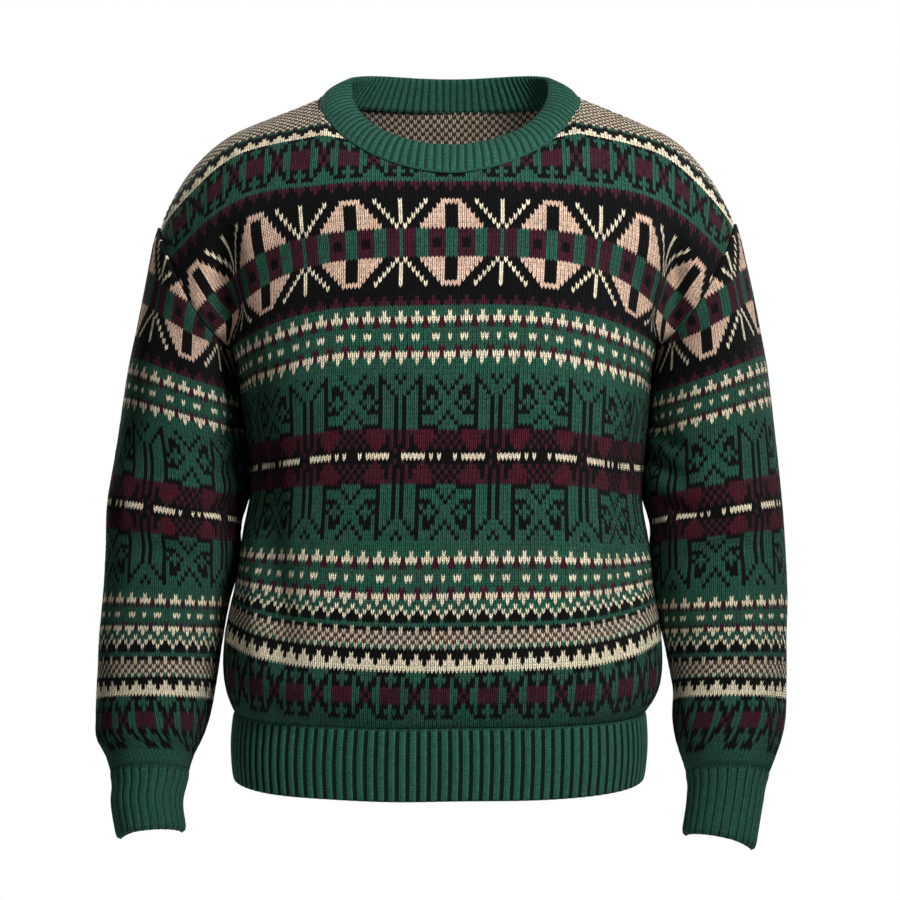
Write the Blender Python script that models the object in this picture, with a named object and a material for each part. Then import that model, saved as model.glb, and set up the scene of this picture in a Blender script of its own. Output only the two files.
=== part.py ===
"""Fair isle jumper: a crew-neck knitted pullover that keeps its worn, hollow shape.

Metres, +Z up, the front faces -Y. The origin is the middle of the neck at the height of the
shoulder points beside the neckband. "Rows" are knitted rows counted up from the hem rib.
Each panel is a closed wall that follows the garment's form; panels meet with a hair's gap.
"""
import bpy
import numpy as np

WALL = 0.003              # knitted fabric
BAND_WALL = 0.0045        # double neckband
RIB_RAISE = 0.0016        # how far a rib stands proud
SEAM_GAP = 0.0003
HEM_DEPTH = 0.066         # welt height
HEM_RIBS = 60             # on each welt
CUFF_RIBS = 26
NECK_RIBS = 104

PIT_ROW, SHOULDER_ROW, TIP_ROW = 82.0, 109.3, 121.0
NECK_HALF_WIDTH, NECK_DROP, NECK_FRONT, NECK_BACK = 0.121, 0.0853, 0.1265, 0.072
BAND_HALF_WIDTH, BAND_FRONT, BAND_BACK = 0.0935, 0.098, 0.060
SHOULDER_ANGLE = np.pi * (TIP_ROW - SHOULDER_ROW) / (TIP_ROW - PIT_ROW)
VALLEY_X, VALLEY_WIDTH, VALLEY_DEPTH = 0.207, 0.013, 0.030

# row, height of the row at centre and at the side seam, centre shift, side seams left and
# right, depth in front and behind
BODY_COLUMNS = ("row", "z_mid", "z_side", "shift", "left", "right", "front", "back")
BODY = np.array([
    (0, -0.5828, -0.5890, -0.0100, 0.2028, 0.1838, 0.143, 0.136),
    (3, -0.5690, -0.5720, -0.0100, 0.2110, 0.1962, 0.152, 0.144),
    (7, -0.5495, -0.5500, -0.0097, 0.2160, 0.2028, 0.158, 0.149),
    (11, -0.5300, -0.5190, -0.0085, 0.2140, 0.2014, 0.159, 0.150),
    (14, -0.5149, -0.5040, -0.0080, 0.2105, 0.1990, 0.158, 0.149),
    (25, -0.4719, -0.4660, -0.0070, 0.2020, 0.1915, 0.154, 0.144),
    (35, -0.4243, -0.4263, -0.0055, 0.1957, 0.1857, 0.151, 0.141),
    (48, -0.3651, -0.3715, -0.0038, 0.1893, 0.1822, 0.149, 0.138),
    (55, -0.3341, -0.3410, -0.0025, 0.1915, 0.1850, 0.149, 0.138),
    (70, -0.2677, -0.2850, -0.0010, 0.1985, 0.1905, 0.149, 0.141),
    (76, -0.2390, -0.2620, 0.0000, 0.2010, 0.1918, 0.149, 0.142),
    (82, -0.2111, -0.2420, 0.0000, 0.2062, 0.1955, 0.149, 0.142),
    (97, -0.1460, -0.1900, 0.0015, 0.2400, 0.2350, 0.142, 0.139),
    (105, -0.1106, -0.1650, 0.0010, 0.2500, 0.2500, 0.136, 0.131),
    (110, -0.0901, -0.1500, 0.0000, 0.2600, 0.2600, 0.128, 0.124),
])

# half of the armhole: shoulder tip and armpit
ARMHOLE = {
    "left": dict(tip=(0.2752, -0.1245), pit=(0.2062, -0.2420)),
    "right": dict(tip=(0.2700, -0.1207), pit=(0.1955, -0.2404)),
}
ARMHOLE_FRONT, ARMHOLE_BACK, ARMHOLE_DIP = 0.073, 0.076, 0.014
ARM_LEAN = np.radians(30.0)

# rings of the sleeve tube from the bicep to the cuff edge: knitted row, centre, half width and
# half depth, lift of the outer side and lift of the front side in degrees
RING_COLUMNS = ("row", "x", "y", "z", "wide", "deep", "tilt", "pitch")
RINGS = {
    "left": np.array([
        (83, 0.2530, 0.008, -0.2728, 0.0552, 0.0745, 18.0, 0),
        (68, 0.2548, 0.010, -0.3322, 0.0622, 0.0710, 12.5, 0),
        (61, 0.2567, 0.007, -0.3625, 0.0646, 0.0695, 10.5, 1),
        (54, 0.2622, -0.003, -0.3930, 0.0625, 0.0680, 8.5, 2),
        (44, 0.2631, -0.006, -0.4345, 0.0628, 0.0650, 5.0, 3),
        (35, 0.2692, -0.012, -0.4743, 0.0586, 0.0605, 2.0, 4),
        (25, 0.2732, -0.018, -0.5140, 0.0575, 0.0590, 0.5, 6),
        (16, 0.2750, -0.024, -0.5436, 0.0560, 0.0575, 0.0, 8),
        (11, 0.2762, -0.028, -0.5601, 0.0553, 0.0560, 0.0, 9),
        (5, 0.2785, -0.036, -0.5892, 0.0523, 0.0525, 0.0, 12),
        (2, 0.2806, -0.041, -0.6053, 0.0485, 0.0490, 0.0, 14),
        (0, 0.2796, -0.045, -0.6179, 0.0414, 0.0430, 0.0, 15),
        (-3, 0.2787, -0.052, -0.6411, 0.0352, 0.0375, -1.0, 16),
        (-7, 0.2802, -0.058, -0.6587, 0.0333, 0.0360, -3.0, 17),
        (-14, 0.2753, -0.068, -0.6876, 0.0322, 0.0350, -6.0, 18),
    ]),
    "right": np.array([
        (83, 0.2468, 0.008, -0.2723, 0.0570, 0.0745, 18.0, 0),
        (68, 0.2481, 0.010, -0.3322, 0.0630, 0.0710, 12.5, 0),
        (61, 0.2490, 0.007, -0.3625, 0.0651, 0.0695, 10.5, 1),
        (54, 0.2533, -0.003, -0.3938, 0.0622, 0.0680, 8.5, 2),
        (44, 0.2543, -0.006, -0.4345, 0.0633, 0.0650, 5.0, 3),
        (35, 0.2579, -0.012, -0.4767, 0.0612, 0.0620, 2.0, 4),
        (25, 0.2600, -0.018, -0.5140, 0.0575, 0.0595, 0.5, 6),
        (16, 0.2615, -0.024, -0.5436, 0.0546, 0.0575, 0.0, 8),
        (11, 0.2619, -0.028, -0.5601, 0.0530, 0.0555, 0.0, 9),
        (5, 0.2598, -0.036, -0.5892, 0.0522, 0.0525, 0.0, 12),
        (2, 0.2592, -0.041, -0.6053, 0.0490, 0.0490, 0.0, 14),
        (0, 0.2590, -0.045, -0.6200, 0.0440, 0.0440, 0.0, 15),
        (-3, 0.2569, -0.052, -0.6411, 0.0370, 0.0385, -2.0, 16),
        (-7, 0.2543, -0.058, -0.6587, 0.0351, 0.0365, -6.0, 17),
        (-14, 0.2475, -0.069, -0.6940, 0.0345, 0.0350, -12.0, 18),
    ]),
}

# soft troughs (minus) and ridges (plus) in the body: upper and lower end, width, depth
FOLD_COLUMNS = ("x_top", "z_top", "x_low", "z_low", "width", "depth")
FRONT_FOLDS = np.array([
    (-0.176, -0.320, -0.150, -0.520, 0.016, -0.0060),
    (-0.196, -0.260, -0.178, -0.360, 0.014, -0.0050),
    (0.170, -0.300, 0.150, -0.500, 0.016, -0.0055),
    (0.192, -0.255, 0.172, -0.350, 0.014, -0.0045),
    (-0.110, -0.470, -0.135, -0.560, 0.022, 0.0035),
    (0.100, -0.470, 0.128, -0.560, 0.022, 0.0035),
    (0.015, -0.400, -0.020, -0.550, 0.030, 0.0025),
])
BACK_FOLDS = np.array([
    (-0.165, -0.230, -0.120, -0.480, 0.020, -0.0065),
    (0.160, -0.240, 0.110, -0.500, 0.020, -0.0065),
    (-0.060, -0.160, 0.050, -0.185, 0.022, 0.0030),
    (-0.100, -0.470, -0.130, -0.560, 0.022, 0.0035),
    (0.090, -0.460, 0.130, -0.560, 0.022, 0.0035),
    (0.010, -0.300, 0.000, -0.520, 0.028, -0.0045),
])
# creases round the sleeve: angle from the outer side, height, slope, half angle, width, depth
CREASE_COLUMNS = ("angle", "z", "slope", "reach", "width", "depth")
SLEEVE_CREASES = np.array([
    (150, -0.318, 0.030, 55, 0.011, -0.0060),
    (140, -0.352, 0.022, 50, 0.011, -0.0055),
    (120, -0.392, 0.012, 60, 0.010, -0.0060),
    (95, -0.430, -0.016, 60, 0.012, -0.0050),
    (250, -0.360, 0.020, 55, 0.012, -0.0055),
    (230, -0.410, 0.015, 55, 0.012, -0.0055),
    (60, -0.555, 0.010, 60, 0.012, -0.0035),
    (290, -0.540, -0.012, 60, 0.012, -0.0040),
])

GREEN, DARK_GREEN = (0.026, 0.135, 0.075), (0.014, 0.095, 0.050)


def clear_scene():
    for obj in list(bpy.data.objects):
        bpy.data.objects.remove(obj, do_unlink=True)


def unit(v):
    return v / np.maximum(np.linalg.norm(v, axis=-1, keepdims=True), 1e-9)


def smooth(x, lo, hi):
    t = np.clip((x - lo) / (hi - lo), 0, 1)
    return t * t * (3 - 2 * t)


def lookup(table, columns, row):
    """Values of each named column at a row, eased between the table's rows."""
    order = np.argsort(table[:, 0])
    keys = table[order, 0]
    out = {}
    for i, name in enumerate(columns):
        vals = table[order, i]
        step = np.gradient(vals, keys)
        k = np.clip(np.searchsorted(keys, row) - 1, 0, len(keys) - 2)
        h = keys[k + 1] - keys[k]
        s = (row - keys[k]) / h
        out[name] = (vals[k] * (1 + 2 * s) * (1 - s) ** 2 + step[k] * h * s * (1 - s) ** 2
                     + vals[k + 1] * s * s * (3 - 2 * s) + step[k + 1] * h * s * s * (s - 1))
    return out


# ---------------------------------------------------------------- seams
def armhole(side, angle):
    """Point, wall direction and direction towards the body on the armhole seam.

    The angle runs 0 at the shoulder tip, 90 at the front, 180 in the armpit, 270 behind."""
    sign = -1.0 if side == "left" else 1.0
    (tip_x, tip_z), (pit_x, pit_z) = ARMHOLE[side]["tip"], ARMHOLE[side]["pit"]
    c, s = np.cos(angle), np.sin(angle)
    deep = np.where(s > 0, ARMHOLE_FRONT, ARMHOLE_BACK)
    mid_x, mid_z = (tip_x + pit_x) / 2, (tip_z + pit_z) / 2
    x = mid_x + (tip_x - pit_x) / 2 * c
    z = mid_z + (tip_z - pit_z) / 2 * c - ARMHOLE_DIP * s * s
    point = np.stack([sign * x, -deep * s, z], -1)
    axis = np.array([sign * np.cos(ARM_LEAN), 0, -np.sin(ARM_LEAN)])
    radial = point - np.array([sign * mid_x, 0, mid_z])
    radial = unit(radial - (radial @ axis)[..., None] * axis)
    normal = unit(radial + (0.3 + 0.3 * c)[..., None] * axis)
    inward = -unit(axis - (normal @ axis)[..., None] * normal)
    return point, normal, inward


def shoulder_height(x):
    """Height of the shoulder seam out from the neck."""
    x = np.abs(x)
    return -0.41 * (x - NECK_HALF_WIDTH) - 0.056 * (np.maximum(x - 0.165, 0) / 0.11) ** 4


def neckline(angle, back):
    """Neck seam: 0 at the middle, 90 degrees at the shoulder point, on one side."""
    c, s = np.cos(angle), np.sin(angle)
    x = NECK_HALF_WIDTH * s ** 1.11
    if back:
        return np.stack([x, NECK_BACK * c ** 0.95, -0.003 * c], -1)
    return np.stack([x, -NECK_FRONT * c ** 0.9, -NECK_DROP * c ** 1.11], -1)


def neck_normal(angle, back):
    c, s = np.cos(angle), np.sin(angle)
    y = 0.62 * c if back else -0.85 * c
    return unit(np.stack([0.41 * s, y, 0.53 + 0.38 * s + (0.2 * c if back else 0)], -1))


# ---------------------------------------------------------------- body surface
def fold_offset(p, folds):
    """How far the soft folds push the cloth out at each point."""
    out = np.zeros(p.shape[:-1])
    for row in folds:
        f = dict(zip(FOLD_COLUMNS, row))
        along = (p[..., 2] - f["z_top"]) / (f["z_low"] - f["z_top"])
        x = f["x_top"] + (f["x_low"] - f["x_top"]) * along
        ends = smooth(along, -0.25, 0.25) * (1 - smooth(along, 0.75, 1.25))
        out += f["depth"] * ends * np.exp(-((p[..., 0] - x) / f["width"]) ** 2)
    return out


def body_row(side, back, row, t):
    """Points along one knitted row, t = 0 at the centre line to 1 at the seam."""
    sign = -1.0 if side == "left" else 1.0
    v = lookup(BODY, BODY_COLUMNS, row)
    depth = v["back"] if back else v["front"]
    if row <= PIT_ROW:
        edge = np.array([sign * v[side], 0.0, v["z_side"]])
    else:
        angle = np.pi * (1 - (row - PIT_ROW) / (TIP_ROW - PIT_ROW))
        edge = armhole(side, np.array(-angle if back else angle))[0]
    f = np.sin(t * np.pi / 2)
    open_ = smooth(row, 80.0, 97.0)
    power, root = 2.6 - 0.1 * open_, 2.6 - 1.6 * open_
    x = v["shift"] * (1 - f) + edge[0] * f
    e = abs(edge[1])
    y = e + (depth - e) * np.maximum(1 - f ** power, 0) ** (1 / root)
    dent = VALLEY_DEPTH * smooth(row, 86, 95) * (1 - smooth(row, 99, 109))
    y = y - dent * np.exp(-((np.abs(x) - VALLEY_X) / VALLEY_WIDTH) ** 2) * (1 - f ** 14)
    z = v["z_mid"] + (edge[2] - v["z_mid"]) * f ** 4
    return np.stack([x, y if back else -y, z], -1)


def hermite(a, b, tan_a, tan_b, w):
    w = w[..., None]
    return (a * (1 + 2 * w) * (1 - w) ** 2 + tan_a * w * (1 - w) ** 2
            + b * w * w * (3 - 2 * w) + tan_b * w * w * (w - 1))


def shoulder_tops(side, back, t):
    """Upper ends of the wales: on the neckline, then on the shoulder seam."""
    sign = -1.0 if side == "left" else 1.0
    base = body_row(side, back, SHOULDER_ROW, t)
    bx = np.abs(base[:, 0])
    share = np.clip(bx / NECK_HALF_WIDTH, 0, 1)
    neck = neckline(np.arcsin(share ** (1 / 1.11)), back)
    tip_x = ARMHOLE[side]["tip"][0]
    edge_x = abs(base[-1, 0])
    ridge_x = bx + (tip_x - edge_x) * np.sin(t * np.pi / 2) ** 6
    drop = ARMHOLE[side]["tip"][1] - shoulder_height(tip_x)
    ridge_z = shoulder_height(ridge_x) + drop * smooth(ridge_x, 0.2, tip_x)
    ridge = np.stack([ridge_x, 0 * bx, ridge_z], -1)
    top = np.where((bx < NECK_HALF_WIDTH)[:, None], neck, ridge)
    top[:, 0] *= sign
    return base, top, share


def shoulder_patch(side, back, t, w):
    """Wales from the shoulder row up to the neckline or over to the shoulder seam."""
    base, top, share = shoulder_tops(side, back, t)
    reach = np.linalg.norm(top - base, axis=-1)[:, None]
    over = -1.0 if back else 1.0
    start = unit(np.stack([0 * share, over * 0.35 + 0 * share, 1 + 0 * share], -1)) * reach
    out = smooth(np.abs(base[:, 0]), 0.12, 0.20)
    finish = unit(np.stack([0 * share, over * (0.45 + 0.43 * share + 0.12 * out),
                            0.85 - 0.38 * share - 0.32 * out], -1)) * reach
    grid = np.stack([hermite(base, top, start, finish, np.full(len(t), k)) for k in w], 1)
    angles = SHOULDER_ANGLE * (1 - w)
    seam = armhole(side, -angles if back else angles)[0]
    pull = (np.sin(t * np.pi / 2) ** 10)[:, None, None]
    return grid + pull * (seam - grid[-1])[None]


NECK_ANGLES = np.linspace(0, np.pi / 2, 7)


def panel_columns(side):
    """Column places from centre to seam; the first ones end on the neckline's corners."""
    sign = -1.0 if side == "left" else 1.0
    edge = armhole(side, np.array(SHOULDER_ANGLE))[0][0]
    shift = lookup(BODY, BODY_COLUMNS, SHOULDER_ROW)["shift"]
    x = sign * (NECK_HALF_WIDTH + 1e-7) * np.sin(NECK_ANGLES) ** 1.11
    neck = np.arcsin(np.clip((x - shift) / (edge - shift), 0, 1)) * 2 / np.pi
    neck[0] = 0
    return np.concatenate([neck, np.linspace(neck[-1], 1, 8)[1:]])


PANEL_ROWS = [0, 3, 7, 11, 16, 22, 29, 36, 44, 52, 60, 68, 74, 78]
ARMHOLE_STEPS = 7
PATCH_STEPS = 6


def grid_normals(grid, outward, closed=False):
    """Wall directions of a grid of points, facing the way that `outward` mostly does."""
    if closed:
        du = np.roll(grid, -1, 0) - np.roll(grid, 1, 0)
    else:
        du = np.gradient(grid, axis=0)
    n = unit(np.cross(du, np.gradient(grid, axis=1)))
    return n * np.sign(np.sum(n * outward))


def half_panel(side, back):
    """One half of the front or back: points and wall directions, centre to seam."""
    t = panel_columns(side)
    rows = PANEL_ROWS + [PIT_ROW + (SHOULDER_ROW - PIT_ROW) * k / ARMHOLE_STEPS
                         for k in range(ARMHOLE_STEPS + 1)]
    lower = np.stack([body_row(side, back, r, t) for r in rows], 1)
    patch = shoulder_patch(side, back, t, np.arange(1, PATCH_STEPS + 1) / PATCH_STEPS)
    return np.concatenate([lower, patch], 1), np.array(rows, float)


def set_panel_seams(grid, normal, side, back, rows):
    """Give the outer column and the top row the wall directions that their seams share."""
    sign = -1.0 if side == "left" else 1.0
    out_y = 1.0 if back else -1.0
    normal[:, 0] = unit(normal[:, 0] * (1, 1, 0))
    below = rows < PIT_ROW
    n_low = int(below.sum())
    normal[-1, :n_low] = (sign, 0, 0)
    grid[-1, :n_low, 1] = out_y * SEAM_GAP / 2
    low = np.pi * (1 - (rows[n_low:] - PIT_ROW) / (TIP_ROW - PIT_ROW))
    high = low[-1] * (1 - np.arange(1, PATCH_STEPS + 1) / PATCH_STEPS)
    angle = np.concatenate([low, high]) * (-1 if back else 1)
    point, n, inward = armhole(side, angle)
    spread = smooth(np.abs(angle), np.radians(110), np.pi)[:, None] * 0.8
    grid[-1, n_low:] = point + inward * SEAM_GAP / 2
    normal[-1, n_low:] = unit(n - spread * inward)
    grid[-1, n_low, 1] = out_y * SEAM_GAP / 2
    normal[-1, n_low, 1] = 0
    k = len(NECK_ANGLES)
    nn = neck_normal(NECK_ANGLES, back)
    nn[:, 0] *= sign
    along = np.gradient(grid[:k, -1], axis=0)
    down = unit(np.cross(nn, along))
    down *= np.sign(np.sum(down * (grid[:k, -1] - (0, -0.02, 0)), -1, keepdims=True))
    grid[:k, -1] += down * SEAM_GAP / 2
    normal[:k, -1] = nn
    slope = np.gradient(grid[k - 1:, -1, 2], np.abs(grid[k - 1:, -1, 0]))
    ridge = unit(np.stack([-sign * slope, 0 * slope, 1 + 0 * slope], -1))
    normal[k - 1:-1, -1] = ridge[:-1]
    grid[k - 1:, -1, 1] = out_y * SEAM_GAP / 2
    normal[-1, -1, 1] = 0
    normal[-1, -1] = unit(normal[-1, -1])


def build_panel(name, back):
    halves = []
    for side in ("left", "right"):
        grid, rows = half_panel(side, back)
        facing = np.array([0, 1.0 if back else -1.0, 0.35])
        halves.append((grid, rows, side, facing))
    left, right = halves[0][0], halves[1][0]
    mid = (left[:1] + right[:1]) / 2
    whole = np.concatenate([left[:0:-1], mid, right[1:]], 0)
    normal = grid_normals(whole, halves[0][3])
    folds = BACK_FOLDS if back else FRONT_FOLDS
    whole = whole + normal * fold_offset(whole, folds)[..., None] * edge_fade(whole.shape)
    n = left.shape[0]
    rows = halves[0][1]
    left_half, left_n = whole[:n][::-1].copy(), normal[:n][::-1].copy()
    right_half, right_n = whole[n - 1:].copy(), normal[n - 1:].copy()
    set_panel_seams(left_half, left_n, "left", back, rows)
    set_panel_seams(right_half, right_n, "right", back, rows)
    whole = np.concatenate([left_half[:0:-1], right_half], 0)
    normal = np.concatenate([left_n[:0:-1], right_n], 0)
    return wall(name, whole, normal, WALL)


def edge_fade(shape):
    """Folds die out at a panel's seams."""
    i = np.arange(shape[0])
    fade = np.minimum(np.minimum(i, shape[0] - 1 - i) / 2.0, 1.0)
    return fade[:, None, None]


# ---------------------------------------------------------------- sleeves and cuffs
def ring_points(side, row, angle):
    sign = -1.0 if side == "left" else 1.0
    v = lookup(RINGS[side], RING_COLUMNS, row)
    tilt, pitch = np.radians(v["tilt"]), np.radians(v["pitch"])
    outward = np.array([sign * np.cos(tilt), 0, np.sin(tilt)])
    forward = np.array([0, -np.cos(pitch), np.sin(pitch)])
    centre = np.array([sign * v["x"], v["y"], v["z"]])
    c, s = np.cos(angle)[:, None], np.sin(angle)[:, None]
    return centre + v["wide"] * c * outward + v["deep"] * s * forward


def crease_offset(points, angle):
    out = np.zeros(points.shape[:-1])
    for row in SLEEVE_CREASES:
        f = dict(zip(CREASE_COLUMNS, row))
        turn = (np.degrees(angle)[:, None] - f["angle"] + 180) % 360 - 180
        z = f["z"] + f["slope"] * turn / 60
        reach = np.clip(1 - (turn / f["reach"]) ** 2, 0, 1) ** 2
        out += f["depth"] * reach * np.exp(-((points[..., 2] - z) / f["width"]) ** 2)
    return out


def sleeve_angles():
    """Angles round the armhole that fall on the panels' own corners."""
    upper = SHOULDER_ANGLE * np.arange(PATCH_STEPS + 1) / PATCH_STEPS
    lower = np.linspace(SHOULDER_ANGLE, np.pi, ARMHOLE_STEPS + 1)[1:]
    half = np.concatenate([upper, lower])
    return np.concatenate([half, 2 * np.pi - half[-2:0:-1]])


def build_sleeve(side):
    sign = -1.0 if side == "left" else 1.0
    angle = sleeve_angles()
    rows = [83, 76, 68, 61, 54, 49, 44, 35, 25, 16, 9, 4, 1.5, 0]
    tube = [ring_points(side, r, angle) for r in rows]
    loop, loop_n, inward = armhole(side, angle)
    reach = np.linalg.norm(loop - tube[0], axis=-1)[:, None]
    lean = ((1 + np.cos(angle)) / 2)[:, None]
    tilt = np.radians(lookup(RINGS[side], RING_COLUMNS, 83)["tilt"])
    up = unit(lean * np.array([-sign * np.sin(tilt), 0, np.cos(tilt)])
              + (1 - lean) * np.array([0, 0, 1.0]))
    leave = -inward * reach * (0.35 + 0.30 * lean)
    cap = [hermite(loop, tube[0], leave, -up * reach, np.full(len(angle), w))
           for w in (0.0, 0.2, 0.42, 0.7)]
    grid = np.stack(cap + tube, 1)
    centre = grid.mean(0, keepdims=True)
    normal = grid_normals(grid, grid - centre, closed=True)
    fade = np.ones(grid.shape[1])
    fade[[0, 1, -1]] = 0, 0, 0
    grid = grid + normal * (crease_offset(grid, angle) * fade)[..., None]
    spread = smooth(np.minimum(angle, 2 * np.pi - angle), np.radians(110), np.pi)[:, None] * 0.8
    grid[:, 0] = loop - inward * SEAM_GAP / 2
    normal[:, 0] = unit(loop_n + spread * inward)
    axis = ring_axis(side, 0)
    flat = normal[:, -1] - (normal[:, -1] @ axis)[:, None] * axis
    normal[:, -1] = unit(flat)
    grid[:, -1] += axis * SEAM_GAP / 2
    return wall("sleeve_" + side, grid, normal, WALL, closed=True)


def ring_axis(side, row):
    """Up along the sleeve at one row."""
    p = ring_points(side, row, np.array([0, np.pi / 2, np.pi]))
    axis = unit(np.cross(p[0] - p[2], p[1] - p[2]))
    return axis * np.sign(axis[2])


def rib_wave(count, per_rib):
    """0 in a rib's trough, 1 on its crest, round all the ribs."""
    return (1 - np.cos(2 * np.pi * np.arange(count * per_rib) / per_rib)) / 2


def build_cuff(side):
    angle = np.linspace(0, 2 * np.pi, CUFF_RIBS * 2, endpoint=False)
    rows = [0, -3, -7, -14]
    grid = np.stack([ring_points(side, r, angle) for r in rows], 1)
    normal = grid_normals(grid, grid - grid.mean(0, keepdims=True), closed=True)
    for k, row in ((0, 0), (-1, -14)):
        axis = ring_axis(side, row)
        normal[:, k] = unit(normal[:, k] - (normal[:, k] @ axis)[:, None] * axis)
    grid[:, 0] -= ring_axis(side, 0) * SEAM_GAP / 2
    raise_ = RIB_RAISE * rib_wave(CUFF_RIBS, 2)
    return wall("cuff_" + side, grid, normal, WALL, closed=True, raise_=raise_)


# ---------------------------------------------------------------- welts and neckband
def build_welt(name, back):
    """Ribbed band under a panel: straight down from the panel's last row, drawn in a little."""
    t = np.linspace(-1, 1, HEM_RIBS * 2 + 1)
    left, right = panel_columns("left"), panel_columns("right")
    places = np.concatenate([-left[:0:-1], right])
    edge = np.concatenate([body_row("left", back, 0, left)[:0:-1],
                           body_row("right", back, 0, right)])
    top = np.stack([np.interp(t, places, edge[:, i]) for i in range(3)], -1)
    out_y = 1.0 if back else -1.0
    grid = []
    for share in (0.0, 0.45, 1.0):
        ring = top.copy()
        bulge = 1 + 0.012 * np.sin(share * np.pi) - 0.002 * share
        ring[:, :2] = top[:, :2] * bulge
        ring[:, 0] -= 0.001 * share
        ring[:, 2] = top[:, 2] - HEM_DEPTH * share + (0.004 + 0.005 * t ** 4) * share
        grid.append(ring)
    grid = np.stack(grid, 1)
    normal = grid_normals(grid, np.array([0, out_y, 0.0]))
    normal[..., 2] = 0
    normal = unit(normal)
    normal[0], normal[-1] = (-1, 0, 0), (1, 0, 0)
    grid[[0, -1], :, 1] = out_y * SEAM_GAP / 2
    grid[:, 0, 2] -= SEAM_GAP * 1.3
    raise_ = RIB_RAISE * np.append(rib_wave(HEM_RIBS, 2), 0)
    raise_[[0, -1]] = 0
    return wall(name, grid, normal, WALL, raise_=raise_)


def neck_corners():
    """The neckline's corners all the way round, with the wall directions there."""
    a = NECK_ANGLES
    front, back = neckline(a, False), neckline(a, True)
    front_n, back_n = neck_normal(a, False), neck_normal(a, True)
    right = np.concatenate([front, back[-2::-1]])
    right_n = np.concatenate([front_n, back_n[-2::-1]])
    angle = np.concatenate([a, np.pi - a[-2::-1]])
    flip = np.array([-1, 1, 1])
    loop = np.concatenate([right, right[-2:0:-1] * flip])
    loop_n = np.concatenate([right_n, right_n[-2:0:-1] * flip])
    return loop, loop_n, np.concatenate([angle, 2 * np.pi - angle[-2:0:-1]])


def band_top(angle):
    """Free upper edge of the neckband."""
    c = np.cos(angle)
    front = c > 0
    y = np.where(front, 0.008 - (BAND_FRONT + 0.008) * c, 0.008 - (BAND_BACK - 0.008) * c)
    rise = np.abs(c)
    z = np.where(front, 0.014 - 0.0715 * rise ** 0.95, 0.014 + 0.0125 * rise ** 0.8)
    return np.stack([BAND_HALF_WIDTH * np.sin(angle), y, z], -1)


def build_neckband():
    loop, loop_n, corners = neck_corners()
    angle = np.linspace(0, 2 * np.pi, NECK_RIBS * 2, endpoint=False)
    angle = angle + 0.10 * np.sin(2 * angle)
    wrap = np.append(corners, 2 * np.pi)

    def along(values):
        closed = np.concatenate([values, values[:1]])
        return np.stack([np.interp(angle, wrap, closed[:, i]) for i in range(3)], -1)

    low, low_n = along(loop), unit(along(loop_n))
    high = band_top(angle)
    across = unit(high - low)
    across = unit(across - np.sum(across * low_n, -1, keepdims=True) * low_n)
    low = low + across * SEAM_GAP / 2
    middle = (low + high) / 2 + low_n * 0.0035
    grid = np.stack([low, middle, high], 1)
    normal = grid_normals(grid, low_n[:, None, :], closed=True)
    normal[:, 0] = low_n
    raise_ = RIB_RAISE * 0.7 * rib_wave(NECK_RIBS, 2)
    return wall("neckband", grid, normal, BAND_WALL, closed=True, raise_=raise_)


# ---------------------------------------------------------------- walls
def wall(name, grid, normal, thick, closed=False, raise_=None):
    """Closed wall whose plain inside lies `thick` under the outer grid of points."""
    nu, nv = grid.shape[:2]
    outer = grid if raise_ is None else grid + normal * raise_[:, None, None]
    inner = grid - normal * thick
    verts = np.concatenate([outer.reshape(-1, 3), inner.reshape(-1, 3)])
    half = nu * nv
    faces = []
    for i in range(nu if closed else nu - 1):
        j = (i + 1) % nu
        for k in range(nv - 1):
            quad = [i * nv + k, j * nv + k, j * nv + k + 1, i * nv + k + 1]
            faces.append(quad)
            faces.append([half + q for q in reversed(quad)])
        for k, turn in ((0, 1), (nv - 1, -1)):
            rim = [j * nv + k, i * nv + k, half + i * nv + k, half + j * nv + k]
            faces.append(rim[::turn])
    if not closed:
        for k in range(nv - 1):
            for i, turn in ((0, 1), (nu - 1, -1)):
                rim = [i * nv + k, i * nv + k + 1, half + i * nv + k + 1, half + i * nv + k]
                faces.append(rim[::turn])
    if volume(verts, faces) < 0:
        faces = [f[::-1] for f in faces]
    return add_mesh(name, verts, faces)


def volume(verts, faces):
    total = 0.0
    for f in faces:
        a = verts[f[0]]
        for k in range(1, len(f) - 1):
            total += np.dot(a, np.cross(verts[f[k]], verts[f[k + 1]]))
    return total


def add_mesh(name, verts, faces):
    mesh = bpy.data.meshes.new(name)
    mesh.from_pydata([tuple(v) for v in verts], [], faces)
    mesh.update()
    obj = bpy.data.objects.new(name, mesh)
    collection.objects.link(obj)
    obj.data.materials.append(knit_material(name, GREEN if "_" in name or name in
                                            ("front", "back") else DARK_GREEN))
    return obj


def knit_material(name, colour):
    mat = bpy.data.materials.new("knit_" + name)
    mat.use_nodes = True
    shader = mat.node_tree.nodes["Principled BSDF"]
    shader.inputs["Base Color"].default_value = (*colour, 1)
    shader.inputs["Roughness"].default_value = 0.9
    return mat


clear_scene()
collection = bpy.data.collections.new("fair_isle_jumper")
bpy.context.scene.collection.children.link(collection)
build_panel("front", back=False)
build_panel("back", back=True)
for arm in ("left", "right"):
    build_sleeve(arm)
    build_cuff(arm)
build_welt("welt_front", back=False)
build_welt("welt_back", back=True)
build_neckband()
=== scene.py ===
"""Fair isle jumper, dressed: stranded stocking stitch body and sleeves, ribbed welts and neck.

Every stitch of the patterned cloth is a pair of slanting faces, the two legs of its V, worked on
the jumper's own form: a place on the cloth is a wale (counted from the centre line, or from the
outer line of a sleeve) and a knitted row (counted up from the rib). The colours come from
charts of rows, written out below as a knitter writes them.
"""

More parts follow.
